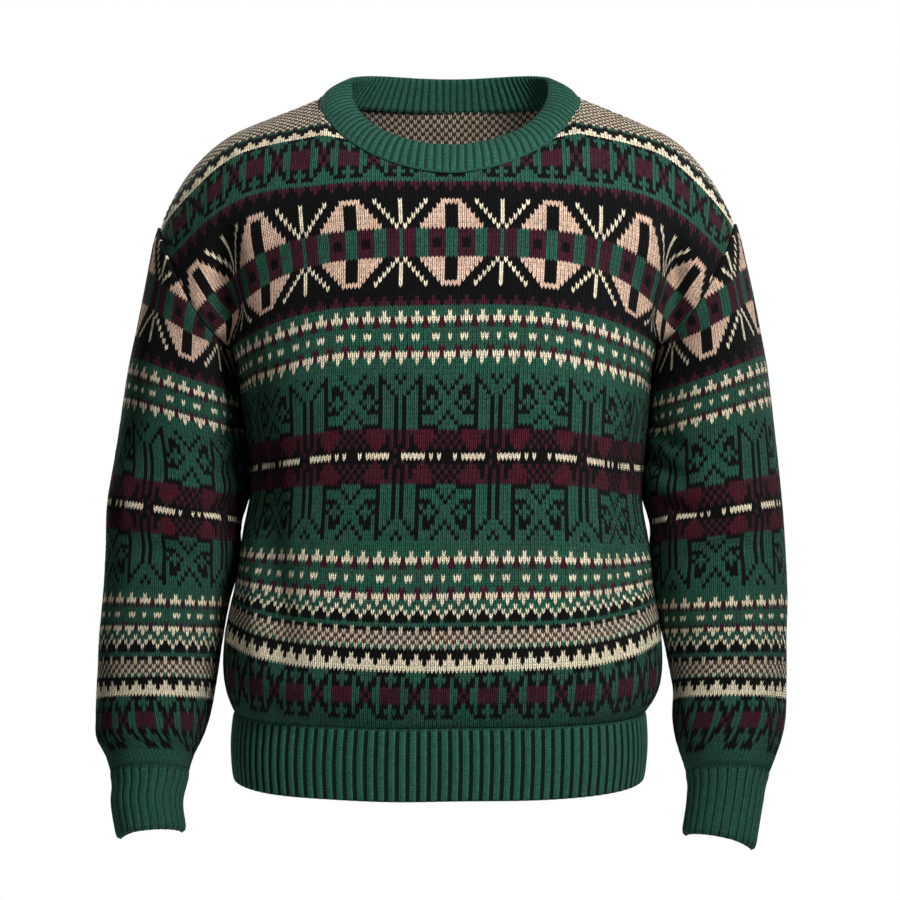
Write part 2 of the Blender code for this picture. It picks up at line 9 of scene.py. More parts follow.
import bmesh
import bpy
import numpy as np
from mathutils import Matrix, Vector


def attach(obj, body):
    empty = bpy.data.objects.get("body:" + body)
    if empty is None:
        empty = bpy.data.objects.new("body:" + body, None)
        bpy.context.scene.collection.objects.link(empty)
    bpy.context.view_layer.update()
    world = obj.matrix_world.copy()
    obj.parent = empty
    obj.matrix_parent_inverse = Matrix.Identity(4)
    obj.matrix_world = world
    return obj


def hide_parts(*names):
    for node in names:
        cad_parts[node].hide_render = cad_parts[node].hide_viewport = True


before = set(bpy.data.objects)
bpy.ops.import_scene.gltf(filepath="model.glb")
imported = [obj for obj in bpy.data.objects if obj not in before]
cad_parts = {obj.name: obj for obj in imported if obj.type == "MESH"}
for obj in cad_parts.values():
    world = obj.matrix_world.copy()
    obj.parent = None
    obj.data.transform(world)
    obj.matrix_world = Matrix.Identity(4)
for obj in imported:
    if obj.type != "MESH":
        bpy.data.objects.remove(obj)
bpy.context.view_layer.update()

# ---------------------------------------------------------------- the jumper's form
# Metres, +Z up, the front faces -Y. Rows are knitted rows, counted up from the hem rib.
RIB_RAISE = 0.0017
HEM_DEPTH, HEM_RIBS = 0.066, 60
CUFF_RIBS, NECK_RIBS = 26, 104
PIT_ROW, SHOULDER_ROW, TIP_ROW = 82.0, 109.3, 121.0
NECK_HALF_WIDTH, NECK_DROP, NECK_FRONT, NECK_BACK = 0.121, 0.0853, 0.1265, 0.072
BAND_HALF_WIDTH, BAND_FRONT, BAND_BACK = 0.0935, 0.098, 0.060
SHOULDER_ANGLE = np.pi * (TIP_ROW - SHOULDER_ROW) / (TIP_ROW - PIT_ROW)
VALLEY_X, VALLEY_WIDTH, VALLEY_DEPTH = 0.207, 0.013, 0.030

# Height of a row at the centre and at the side seam, sideways shift of the centre, side seams
# left and right, and depth in front and behind.
BODY_COLUMNS = ("row", "z_mid", "z_side", "shift", "left", "right", "front", "back")
BODY = np.array([
    (0, -0.5828, -0.5800, -0.0100, 0.2028, 0.1838, 0.143, 0.136),
    (3, -0.5690, -0.5630, -0.0100, 0.2095, 0.1945, 0.152, 0.144),
    (7, -0.5495, -0.5395, -0.0097, 0.2135, 0.2000, 0.158, 0.149),
    (11, -0.5300, -0.5095, -0.0085, 0.2122, 0.1996, 0.159, 0.150),
    (14, -0.5149, -0.4950, -0.0080, 0.2095, 0.1980, 0.158, 0.149),
    (25, -0.4719, -0.4600, -0.0070, 0.2015, 0.1910, 0.154, 0.144),
    (35, -0.4243, -0.4240, -0.0055, 0.1957, 0.1857, 0.151, 0.141),
    (48, -0.3651, -0.3715, -0.0038, 0.1893, 0.1822, 0.149, 0.138),
    (55, -0.3341, -0.3410, -0.0025, 0.1915, 0.1850, 0.149, 0.138),
    (70, -0.2677, -0.2850, -0.0010, 0.1985, 0.1905, 0.149, 0.141),
    (76, -0.2390, -0.2620, 0.0000, 0.2010, 0.1918, 0.149, 0.142),
    (82, -0.2111, -0.2420, 0.0000, 0.2062, 0.1955, 0.149, 0.142),
    (97, -0.1460, -0.1900, 0.0015, 0.2400, 0.2350, 0.142, 0.139),
    (105, -0.1106, -0.1650, 0.0010, 0.2500, 0.2500, 0.136, 0.131),
    (110, -0.0901, -0.1500, 0.0000, 0.2600, 0.2600, 0.128, 0.124),
])
# (x, z) of the shoulder tip and of the armpit
ARMHOLE = {
    "left": dict(tip=(0.2752, -0.1245), pit=(0.2062, -0.2420)),
    "right": dict(tip=(0.2700, -0.1207), pit=(0.1955, -0.2404)),
}
ARMHOLE_FRONT, ARMHOLE_BACK, ARMHOLE_DIP = 0.073, 0.076, 0.014
ARM_LEAN = np.radians(30.0)

# Rings of the sleeve from the bicep to the cuff's edge: row, centre, half width and half depth,
# lift of the outer side and of the front side in degrees.
RING_COLUMNS = ("row", "x", "y", "z", "wide", "deep", "tilt", "pitch")
RINGS = {
    "left": np.array([
        (83, 0.2530, 0.008, -0.2728, 0.0552, 0.0745, 18.0, 0),
        (68, 0.2548, 0.010, -0.3322, 0.0622, 0.0710, 12.5, 0),
        (61, 0.2567, 0.007, -0.3625, 0.0646, 0.0695, 10.5, 1),
        (54, 0.2622, -0.003, -0.3930, 0.0625, 0.0680, 8.5, 2),
        (44, 0.2631, -0.006, -0.4345, 0.0628, 0.0650, 5.0, 3),
        (35, 0.2692, -0.012, -0.4743, 0.0586, 0.0605, 2.0, 4),
        (25, 0.2732, -0.018, -0.5140, 0.0575, 0.0590, 0.5, 6),
        (16, 0.2750, -0.024, -0.5436, 0.0560, 0.0575, 0.0, 8),
        (11, 0.2762, -0.028, -0.5601, 0.0553, 0.0560, 0.0, 9),
        (5, 0.2785, -0.036, -0.5892, 0.0523, 0.0525, 0.0, 12),
        (2, 0.2806, -0.041, -0.6053, 0.0485, 0.0490, 0.0, 14),
        (0, 0.2796, -0.045, -0.6179, 0.0414, 0.0430, 0.0, 15),
        (-3, 0.2787, -0.052, -0.6411, 0.0352, 0.0375, -1.0, 16),
        (-7, 0.2802, -0.058, -0.6587, 0.0333, 0.0360, -3.0, 17),
        (-14, 0.2753, -0.068, -0.6876, 0.0322, 0.0350, -6.0, 18),
    ]),
    "right": np.array([
        (83, 0.2468, 0.008, -0.2723, 0.0570, 0.0745, 18.0, 0),
        (68, 0.2481, 0.010, -0.3322, 0.0630, 0.0710, 12.5, 0),
        (61, 0.2490, 0.007, -0.3625, 0.0651, 0.0695, 10.5, 1),
        (54, 0.2533, -0.003, -0.3938, 0.0622, 0.0680, 8.5, 2),
        (44, 0.2543, -0.006, -0.4345, 0.0633, 0.0650, 5.0, 3),
        (35, 0.2579, -0.012, -0.4767, 0.0612, 0.0620, 2.0, 4),
        (25, 0.2600, -0.018, -0.5140, 0.0575, 0.0595, 0.5, 6),
        (16, 0.2615, -0.024, -0.5436, 0.0546, 0.0575, 0.0, 8),
        (11, 0.2619, -0.028, -0.5601, 0.0530, 0.0555, 0.0, 9),
        (5, 0.2598, -0.036, -0.5892, 0.0522, 0.0525, 0.0, 12),
        (2, 0.2592, -0.041, -0.6053, 0.0490, 0.0490, 0.0, 14),
        (0, 0.2590, -0.045, -0.6200, 0.0440, 0.0440, 0.0, 15),
        (-3, 0.2569, -0.052, -0.6411, 0.0370, 0.0385, -2.0, 16),
        (-7, 0.2543, -0.058, -0.6587, 0.0351, 0.0365, -6.0, 17),
        (-14, 0.2475, -0.069, -0.6940, 0.0345, 0.0350, -12.0, 18),
    ]),
}

# The knitted sleeve hangs nearer the body and slimmer than its wall: (row, metres).
SLEEVE_NEARER = np.array([(0, 0), (25, 0.0005), (35, 0.0015), (83, 0.0015)])
SLEEVE_SLIMMER = np.array([(-14, 0.0034), (25, 0.0028), (35, 0.0015), (83, 0.0015)])
for rings in RINGS.values():
    rings[:, RING_COLUMNS.index("x")] -= np.interp(rings[:, 0], *SLEEVE_NEARER.T)
    rings[:, RING_COLUMNS.index("wide")] -= np.interp(rings[:, 0], *SLEEVE_SLIMMER.T)

# Soft troughs (minus) and ridges (plus) in the body: upper and lower end, width and depth.
FOLD_COLUMNS = ("x_top", "z_top", "x_low", "z_low", "width", "depth")
FRONT_FOLDS = np.array([
    (-0.176, -0.320, -0.150, -0.520, 0.016, -0.0060),
    (-0.196, -0.260, -0.178, -0.360, 0.014, -0.0050),
    (0.170, -0.300, 0.150, -0.500, 0.016, -0.0055),
    (0.192, -0.255, 0.172, -0.350, 0.014, -0.0045),
    (-0.110, -0.470, -0.135, -0.560, 0.022, 0.0035),
    (0.100, -0.470, 0.128, -0.560, 0.022, 0.0035),
    (0.015, -0.400, -0.020, -0.550, 0.030, 0.0025),
    (-0.188, -0.400, -0.172, -0.540, 0.009, 0.0022),
    (0.184, -0.410, 0.168, -0.540, 0.009, 0.0022),
    (-0.140, -0.225, -0.176, -0.290, 0.010, -0.0022),
    (0.138, -0.222, 0.172, -0.290, 0.010, -0.0022),
])
BACK_FOLDS = np.array([
    (-0.165, -0.230, -0.120, -0.480, 0.020, -0.0065),
    (0.160, -0.240, 0.110, -0.500, 0.020, -0.0065),
    (-0.060, -0.160, 0.050, -0.185, 0.022, 0.0030),
    (-0.100, -0.470, -0.130, -0.560, 0.022, 0.0035),
    (0.090, -0.460, 0.130, -0.560, 0.022, 0.0035),
    (0.010, -0.300, 0.000, -0.520, 0.028, -0.0045),
    (-0.185, -0.400, -0.165, -0.540, 0.010, 0.0022),
    (0.182, -0.400, 0.160, -0.540, 0.010, 0.0022),
])
# Creases round a sleeve: angle from the outer side, height, slope, half angle, width, depth.
CREASE_COLUMNS = ("angle", "z", "slope", "reach", "width", "depth")
SLEEVE_CREASES = np.array([
    (150, -0.318, 0.030, 55, 0.011, -0.0060),
    (140, -0.352, 0.022, 50, 0.011, -0.0055),
    (120, -0.392, 0.012, 60, 0.010, -0.0060),
    (95, -0.430, -0.016, 60, 0.012, -0.0050),
    (250, -0.360, 0.020, 55, 0.012, -0.0055),
    (230, -0.410, 0.015, 55, 0.012, -0.0055),
    (60, -0.555, 0.010, 60, 0.012, -0.0035),
    (290, -0.540, -0.012, 60, 0.012, -0.0040),
])

# ---------------------------------------------------------------- the knitter's charts
# One letter is one stitch: G green, K black, M maroon, R wine red, C cream, P pink,
# O oatmeal, T taupe. A row of 13 letters runs from the middle of a 24-stitch repeat to its
# edge and is worked there and back; 7 letters do so for 12 stitches, 3 for 4 and 2 for 2.
# m is a green stitch whose outer leg is crossed by the maroon yarn of the stitch beside it.
YARNS = {
    "G": (45, 91, 74), "K": (15, 15, 17), "M": (68, 30, 42), "R": (80, 28, 39),
    "C": (244, 231, 200), "P": (232, 196, 172), "O": (212, 197, 174), "T": (84, 68, 58),
}
RIB_YARN = (44, 92, 77)

CROWNS = ["CGG", "CCM", "GmM", "G", "CGGCCGG", "G", "GmM", "CCM", "CGG"]
FIR = [
    "GGGKGGGKGGGKG",
    "GGKGGGGKKGGGK",
    "GKGGKKGKGKGGG",
    "KGGKKKGKGGKGG",
    "GGGKGKGKGGGKG",
    "GGKGGGKKGGGKG",
    "GGGKGKGKGGGKG",
    "KGGGKKKKGGGKG",
    "GKGGGGGKGGGKG",
    "GGKGGGGKGGGKG",
    "GGGKKKKKGGGKG",
]
WINE = [
    "MKMKRRRMMMMKM",
    "KMKMRRRRMKMKM",
    "MKMKMRRRRKMKM",
    "KMKMKMRRKKMKK",
]
DASHES = "KKCKCCCCCCKKKCCCCCCKCKCK"
DIAMOND = [
    "PPPKKKCKKKKKC",
    "KKPPKKKCKKKKC",
    "KKPPPKKKCKKKC",
    "KKPPPPKKKCKKC",
    "KKPPPPPKKKCKC",
    "KKPPPPPPKKKCK",
    "GGMMMMGGGMMMG",
    "GGMMMMGGGMMMG",
    "GGMKKMGGGMMMG",
]
SQUARES = ["GKKKGGG", "GGKGKGG", "GKKGKKG", "MMMGGKM", "MMMGGMK", "MMMGGKM",
           "GKKGKKG", "GGKGKGG", "GKKKGGG"]
TEETH = ["KKC", "KCC", "C"]
CHART_TOP_DOWN = (
    ["OT", "TO"] * 12 + ["GGK", "K"] + TEETH + SQUARES + ["G", "MMK", "MKK", "K", "K"]
    + DIAMOND + DIAMOND[::-1] + ["K", "K", "MKK", "MMK", "G"]
    + CROWNS + ["G", "G"] + FIR + WINE + ["KKKKKKMKKKKMK", DASHES, "KKKKKKMKKKKMK"]
    + WINE[::-1] + FIR[::-1] + ["G", "G"] + CROWNS
    + ["GGC", "GCK", "CKK", "GKK", "G", "KKO", "OT", "TO", "OT", "GO"]
    + ["K"] + TEETH + SQUARES + ["G", "G"]
)
CHART = CHART_TOP_DOWN[::-1]

# The chart's rows aren't all the same height: (chart row, knitted row of the form).
ROW_PLACES = np.array([(0, 0), (25, 25), (34, 35), (51, 52), (52, 52.9), (53, 54.2), (54, 55),
                       (71, 72), (80, 82), (140, 142)])

SLEEVE_START = -1.8       # the sleeve's knitting runs down over the top of the cuff
# The sleeve's pattern hangs lower or higher than the body's: (chart row, rows).
SLEEVE_DROOP = np.array([(0, SLEEVE_START), (6.5, -2.0), (11, -1.9), (15, -1.1), (20, -0.2),
                         (25, 0.9), (38, 0.55), (50, 0.5), (57, 0.6), (66, 1.9), (140, 1.9)])
SLEEVE_PLACES = np.array([(r, np.interp(r, *ROW_PLACES.T) + np.interp(r, *SLEEVE_DROOP.T))
                          for r in range(141)])
TWIST = {"left": 4.8, "right": 0.0}    # stitches that the lower sleeve is turned by
CENTRE_WALE = 6           # wale of the sleeve where a repeat of the chart is centred


def form_row(row, places=ROW_PLACES):
    """Knitted row of the form at which a chart row lies."""
    return np.interp(row, places[:, 0], places[:, 1])


def stitch_letter(row, wale, leg):
    """Yarn of one leg (-1 left, +1 right) of the stitch at this row and wale."""
    line = CHART[min(max(row, 0), len(CHART) - 1)]
    if len(line) == 24:
        return line[wale % 24]
    repeat = {13: 24, 7: 12, 3: 4, 2: 2, 1: 1}[len(line)]
    k = wale % repeat
    letter = line[min(k, repeat - k) if repeat > 1 else 0]
    if letter == "m":
        outer = 1 if 2 * k < repeat else -1
        return "M" if leg == outer else "G"
    return letter


def linear(rgb):
    c = np.asarray(rgb, float) / 255
    return np.where(c <= 0.04045, c / 12.92, ((c + 0.055) / 1.055) ** 2.4)


# ---------------------------------------------------------------- shaping helpers
def unit(v):
    return v / np.maximum(np.linalg.norm(v, axis=-1, keepdims=True), 1e-9)


def smooth(x, lo, hi):
    t = np.clip((x - lo) / (hi - lo), 0, 1)
    return t * t * (3 - 2 * t)


def lookup(table, columns, row):
    """Values of each named column at a row, eased between the table's rows."""
    order = np.argsort(table[:, 0])
    keys = table[order, 0]
    out = {}
    for i, name in enumerate(columns):
        vals = table[order, i]
        step = np.gradient(vals, keys)
        k = np.clip(np.searchsorted(keys, row) - 1, 0, len(keys) - 2)
        h = keys[k + 1] - keys[k]
        s = (row - keys[k]) / h
        out[name] = (vals[k] * (1 + 2 * s) * (1 - s) ** 2 + step[k] * h * s * (1 - s) ** 2
                     + vals[k + 1] * s * s * (3 - 2 * s) + step[k + 1] * h * s * s * (s - 1))
    return out


def armhole(side, angle):
    """Point, wall direction and direction towards the body on the armhole seam."""
    sign = -1.0 if side == "left" else 1.0
    (tip_x, tip_z), (pit_x, pit_z) = ARMHOLE[side]["tip"], ARMHOLE[side]["pit"]
    c, s = np.cos(angle), np.sin(angle)
    deep = np.where(s > 0, ARMHOLE_FRONT, ARMHOLE_BACK)
    mid_x, mid_z = (tip_x + pit_x) / 2, (tip_z + pit_z) / 2
    x = mid_x + (tip_x - pit_x) / 2 * c
    z = mid_z + (tip_z - pit_z) / 2 * c - ARMHOLE_DIP * s * s
    point = np.stack([sign * x, -deep * s, z], -1)
    axis = np.array([sign * np.cos(ARM_LEAN), 0, -np.sin(ARM_LEAN)])
    radial = point - np.array([sign * mid_x, 0, mid_z])
    radial = unit(radial - (radial @ axis)[..., None] * axis)
    normal = unit(radial + (0.3 + 0.3 * c)[..., None] * axis)
    inward = -unit(axis - (normal @ axis)[..., None] * normal)
    return point, normal, inward


def shoulder_height(x):
    """Height of the shoulder line, which falls away faster near its tip."""
    x = np.abs(x)
    return -0.41 * (x - NECK_HALF_WIDTH) - 0.056 * (np.maximum(x - 0.165, 0) / 0.11) ** 4


def neckline(angle, back):
    """Neck seam: 0 at the middle, 90 degrees at the shoulder point, on one side."""
    c, s = np.maximum(np.cos(angle), 0), np.sin(angle)
    x = NECK_HALF_WIDTH * s ** 1.11
    if back:
        return np.stack([x, NECK_BACK * c ** 0.95, -0.003 * c], -1)
    return np.stack([x, -NECK_FRONT * c ** 0.9, -NECK_DROP * c ** 1.11], -1)


def neck_normal(angle, back):
    """Wall direction along the neck seam."""
    c, s = np.cos(angle), np.sin(angle)
    y = 0.62 * c if back else -0.85 * c
    return unit(np.stack([0.41 * s, y, 0.53 + 0.38 * s + (0.2 * c if back else 0)], -1))


def fold_offset(p, folds):
    """How far the body's folds lift each point out of its form."""
    out = np.zeros(p.shape[:-1])
    for row in folds:
        f = dict(zip(FOLD_COLUMNS, row))
        along = (p[..., 2] - f["z_top"]) / (f["z_low"] - f["z_top"])
        x = f["x_top"] + (f["x_low"] - f["x_top"]) * along
        ends = smooth(along, -0.25, 0.25) * (1 - smooth(along, 0.75, 1.25))
        out += f["depth"] * ends * np.exp(-((p[..., 0] - x) / f["width"]) ** 2)
    return out


def body_row(side, back, row, t):
    """Points along one knitted row, t = 0 at the centre line to 1 at the seam."""
    sign = -1.0 if side == "left" else 1.0
    v = lookup(BODY, BODY_COLUMNS, row)
    depth = v["back"] if back else v["front"]
    if row <= PIT_ROW:
        edge = np.array([sign * v[side], 0.0, v["z_side"]])
    else:
        angle = np.pi * (1 - (row - PIT_ROW) / (TIP_ROW - PIT_ROW))
        edge = armhole(side, np.array(-angle if back else angle))[0]
    f = np.sin(t * np.pi / 2)
    open_ = smooth(row, 80.0, 97.0)
    power, root = 2.6 - 0.1 * open_, 2.6 - 1.6 * open_
    x = v["shift"] * (1 - f) + edge[0] * f
    e = abs(edge[1])
    y = e + (depth - e) * np.maximum(1 - f ** power, 0) ** (1 / root)
    dent = VALLEY_DEPTH * smooth(row, 86, 95) * (1 - smooth(row, 99, 109))
    y = y - dent * np.exp(-((np.abs(x) - VALLEY_X) / VALLEY_WIDTH) ** 2) * (1 - f ** 14)
    z = v["z_mid"] + (edge[2] - v["z_mid"]) * f ** 4
    return np.stack([x, y if back else -y, z], -1)


def hermite(a, b, tan_a, tan_b, w):
    """Eased way from a to b, leaving and arriving along the two tangents."""
    w = w[..., None]
    return (a * (1 + 2 * w) * (1 - w) ** 2 + tan_a * w * (1 - w) ** 2
            + b * w * w * (3 - 2 * w) + tan_b * w * w * (w - 1))


def shoulder_patch(side, back, t, w):
    """Wales from the shoulder row up to the neckline or over to the shoulder seam."""
    sign = -1.0 if side == "left" else 1.0
    base = body_row(side, back, SHOULDER_ROW, t)
    bx = np.abs(base[:, 0])
    share = np.clip(bx / NECK_HALF_WIDTH, 0, 1)
    neck = neckline(np.arcsin(share ** (1 / 1.11)), back)
    tip_x = ARMHOLE[side]["tip"][0]
    ridge_x = bx + (tip_x - abs(base[-1, 0])) * np.sin(t * np.pi / 2) ** 6
    drop = ARMHOLE[side]["tip"][1] - shoulder_height(tip_x)
    ridge_z = shoulder_height(ridge_x) + drop * smooth(ridge_x, 0.2, tip_x)
    ridge = np.stack([ridge_x, 0 * bx, ridge_z], -1)
    top = np.where((bx < NECK_HALF_WIDTH)[:, None], neck, ridge)
    top[:, 0] *= sign
    reach = np.linalg.norm(top - base, axis=-1)[:, None]
    over = -1.0 if back else 1.0
    start = unit(np.stack([0 * share, over * 0.35 + 0 * share, 1 + 0 * share], -1)) * reach
    out = smooth(np.abs(base[:, 0]), 0.12, 0.20)
    finish = unit(np.stack([0 * share, over * (0.45 + 0.43 * share + 0.12 * out),
                            0.85 - 0.38 * share - 0.32 * out], -1)) * reach
    grid = np.stack([hermite(base, top, start, finish, np.full(len(t), k)) for k in w], 1)
    angles = SHOULDER_ANGLE * (1 - w)
    seam = armhole(side, -angles if back else angles)[0]
    pull = (np.sin(t * np.pi / 2) ** 10)[:, None, None]
    return grid + pull * (seam - grid[-1])[None]


def ring_points(side, row, angle):
    """Points round the sleeve at one row, from the outer side over the front."""
    sign = -1.0 if side == "left" else 1.0
    v = lookup(RINGS[side], RING_COLUMNS, row)
    tilt, pitch = np.radians(v["tilt"]), np.radians(v["pitch"])
    outward = np.array([sign * np.cos(tilt), 0, np.sin(tilt)])
    forward = np.array([0, -np.cos(pitch), np.sin(pitch)])
    centre = np.array([sign * v["x"], v["y"], v["z"]])
    c, s = np.cos(angle)[:, None], np.sin(angle)[:, None]
    return centre + v["wide"] * c * outward + v["deep"] * s * forward


def crease_offset(points, angle):
    """How far the sleeve's creases lift each point out of its form."""
    out = np.zeros(points.shape[:-1])
    for row in SLEEVE_CREASES:
        f = dict(zip(CREASE_COLUMNS, row))
        turn = (np.degrees(angle) - f["angle"] + 180) % 360 - 180
        z = f["z"] + f["slope"] * turn / 60
        reach = np.clip(1 - (turn / f["reach"]) ** 2, 0, 1) ** 2
        out += f["depth"] * reach * np.exp(-((points[..., 2] - z) / f["width"]) ** 2)
    return out


def band_top(angle):
    """Free upper edge of the neckband."""
    c = np.cos(angle)
    front = c > 0
    y = np.where(front, 0.008 - (BAND_FRONT + 0.008) * c, 0.008 - (BAND_BACK - 0.008) * c)
    rise = np.abs(c)
    z = np.where(front, 0.014 - 0.0715 * rise ** 0.95,
                 0.014 + 0.0185 * rise ** 0.6 * (1 - 0.3 * rise ** 3))
    return np.stack([BAND_HALF_WIDTH * np.sin(angle), y, z], -1)


def arc_length(points, axis=0):
    """Distance along lines of points from their first point."""
    step = np.linalg.norm(np.diff(points, axis=axis), axis=-1)
    pad = [(0, 0)] * step.ndim
    pad[axis] = (1, 0)
    return np.cumsum(np.pad(step, pad), axis=axis)


def surface_normals(grid, outward):
    """Directions square to a grid of points, facing the way that `outward` mostly does."""
    n = unit(np.cross(np.gradient(grid, axis=0), np.gradient(grid, axis=1)))
    return n * np.sign(np.sum(n * outward))


def soft_waves(a, b, seed, waves, reach):
    """Slow, irregular unevenness over two coordinates, about -1 to 1."""
    rng = np.random.default_rng(seed)
    out = 0
    for _ in range(waves):
        ka, kb = rng.uniform(-1, 1, 2) * reach
        out = out + np.sin(ka * a + kb * b + rng.uniform(0, 6.28))
    return out / np.sqrt(waves)


# ---------------------------------------------------------------- knitting
V_SLANT = 0.66            # rows that a stitch's leg climbs from its middle to its edge
GROOVE, CREST = -0.00052, 0.00030
CLOTH, ROUGHNESS = 0.0026, 0.00007
HALF_WALES = 78.5         # stitches from the centre line to the side seam
ROW_TALL = 0.0045
# (knitted row, width of a stitch)
STITCH_WIDTHS = np.array([(0, 0.00362), (30, 0.00362), (45, 0.00355), (62, 0.00355),
                          (77, 0.00360), (87, 0.00370), (95, 0.00374), (107, 0.00384),
                          (110, 0.00384)])
TUCKED_WALES = (55.0, 66.0)    # stitches that the armhole's fold swallows
SLEEVE_PITCH = 0.0036
CAP_ROW, CAP_RISE = 101.25, 7.25    # armhole seam's row, and how far it rises to the tip
SEAM_REACH = 0.035        # stitches within this angle of the underarm line end in it

# The pattern climbs on the yoke and on the shoulder and sags at the sides. Each is a number of
# rows, the wales over which it grows and the knitted rows over which it grows.
YOKE_LIFT, YOKE_WALES, YOKE_ROWS = 1.3, (30, 50), (98, 108)
SHOULDER_LIFT, SHOULDER_WALES, SHOULDER_ROWS = 4.4, (8, 30), (112, 123)
LIFT_ENDS = (50, 76)      # wales over which both fade towards the armhole
SAG, SAG_WALES, SAG_ENDS = 1.2, (22, 52), (74, 92)
SAG_STARTS = {"left": (42, 54), "right": (22, 34)}


def leg_slant(wale):
    """Rows that a stitch line stands above its row at this wale: up at the edges of the V."""
    phase = (wale + 0.5) % 1.0
    return V_SLANT * (np.abs(2 * phase - 1) - 0.5)


def stitch_relief(wale):
    """Height of a stitch: highest at the middle of the V, lowest between two wales."""
    phase = (wale + 0.5) % 1.0
    return CREST + (GROOVE - CREST) * np.abs(2 * phase - 1)


def lines_at(rows, points, wanted):
    """Points on each wale's line at the wanted rows: rows and points are (wale, place)."""
    out = np.empty(wanted.shape + (3,))
    for i in range(len(rows)):
        for k in range(3):
            out[i, :, k] = np.interp(wanted[i], rows[i], points[i, :, k])
    return out


def wale_places(wale, row, width):
    """Distance of each wale from the centre line, along a row that is this wide in all."""
    pitch = np.interp(row, STITCH_WIDTHS[:, 0], STITCH_WIDTHS[:, 1])
    even = wale * pitch + (width - HALF_WALES * pitch) * (wale / HALF_WALES) ** 4
    near, far = TUCKED_WALES
    last = min(width - near * pitch - 0.010, 0.0034 * (HALF_WALES - far))
    tucked = np.interp(wale, (0, near, far, HALF_WALES),
                       (0, near * pitch, width - last, width))
    fold = smooth(row, 81, 87) * (1 - smooth(row, 101, 108))
    return even + (tucked - even) * fold


def half_panel_lines(side, back):
    """Lines up one half of the front or back at each half stitch, with their rows."""
    wale = np.arange(0, HALF_WALES + 0.25, 0.5)
    fine = np.linspace(0, 1, 500)
    rows = [float(r) for r in range(110)] + [SHOULDER_ROW]
    lines = []
    for row in rows:
        p = body_row(side, back, row, fine)
        arc = arc_length(p)
        t = np.interp(wale_places(wale, row, arc[-1]), arc, fine)
        lines.append(body_row(side, back, row, t))
    patch = shoulder_patch(side, back, t, np.linspace(0, 1, 26)[1:])
    points = np.concatenate([np.stack(lines, 1), patch], 1)
    above = arc_length(np.concatenate([points[:, 110:111], patch], 1), axis=1)[:, 1:]
    row_lines = np.concatenate([np.tile(rows, (len(wale), 1)),
                                SHOULDER_ROW + above / ROW_TALL], 1)
    fading = (1 - smooth(wale, *LIFT_ENDS))[:, None]
    low = YOKE_LIFT * smooth(wale, *YOKE_WALES)[:, None]
    high = SHOULDER_LIFT * smooth(wale, *SHOULDER_WALES)[:, None] - low
    lift = low * smooth(row_lines, *YOKE_ROWS) + high * smooth(row_lines, *SHOULDER_ROWS)
    sag = (SAG * smooth(row_lines, *SAG_STARTS[side])
           * (1 - smooth(row_lines, *SAG_ENDS)) * smooth(wale, *SAG_WALES)[:, None])
    return row_lines - lift * fading + sag, points


def panel_lines(back):
    """Lines up the whole front or back, with their rows and wall directions."""
    rows_l, left = half_panel_lines("left", back)
    rows_r, right = half_panel_lines("right", back)
    middle = (left[:1] + right[:1]) / 2
    points = np.concatenate([left[:0:-1], middle, right[1:]])
    rows = np.concatenate([rows_l[:0:-1], rows_r])
    wale = np.arange(len(points)) * 0.5 - HALF_WALES
    facing = np.array([0, 1.0 if back else -1.0, 0.35])
    normal = surface_normals(points, facing)
    fade = smooth(HALF_WALES - np.abs(wale), 0, 8)[:, None]
    folds = fold_offset(points, BACK_FOLDS if back else FRONT_FOLDS)
    waves = soft_waves(points[..., 0], points[..., 2], 5 + back, 7, 55.0) * 0.0007
    seam = np.exp(-((HALF_WALES - np.abs(wale)) / 1.3) ** 2)[:, None] * 0.0012
    points = points + normal * ((folds + waves) * fade - seam)[..., None]
    return wale, rows, points, normal


def unevenness(wale, rows, seed, height):
    """How far each row wanders up and down, for as many chart rows as the cloth may need."""
    place = np.arange(int(np.ceil(rows[:, -1].max())) + 2)[None, :]
    return soft_waves(wale[:, None], place, seed, 6, 0.16) * height * smooth(place, 1, 6)


def stitch_corners(wale, rows, points, normal, wobble, seed, held=False, places=ROW_PLACES,
                   start=0, ease=1.5):
    """Corners of the stitches: where they stand on the cloth, and their place in chart rows."""
    place, top = np.arange(wobble.shape[1])[None, :], rows[:, -1:]
    row = place + np.where(held, 0, leg_slant(wale)[:, None]) + wobble
    wanted = np.clip(form_row(row, places), start, top)
    rough = np.random.default_rng(seed).normal(0, ROUGHNESS, wanted.shape)
    relief = np.where(held, GROOVE, stitch_relief(wale)[:, None] + rough)
    relief = relief * smooth(top - wanted, 0, 1.5) * smooth(wanted - start, 0, ease)
    out = unit(lines_at(rows, normal, wanted)) * relief[..., None]
    return lines_at(rows, points, wanted) + out, place - past_edge(row, top[:, 0], places)


def knit_panel(name, back):
    """The front or the back, stitch by stitch."""
    wale, rows, points, normal = panel_lines(back)
    wobble = unevenness(wale, rows, 11 + back, 0.10)
    corners, place = stitch_corners(wale, rows, points, normal, wobble, 3 + back)
    column = np.floor(wale[:-1] + 0.75).astype(int)
    return knit_sheet(name, corners, wale, place, column, last_rows(rows[:, -1]),
                      -1 if back else 1)


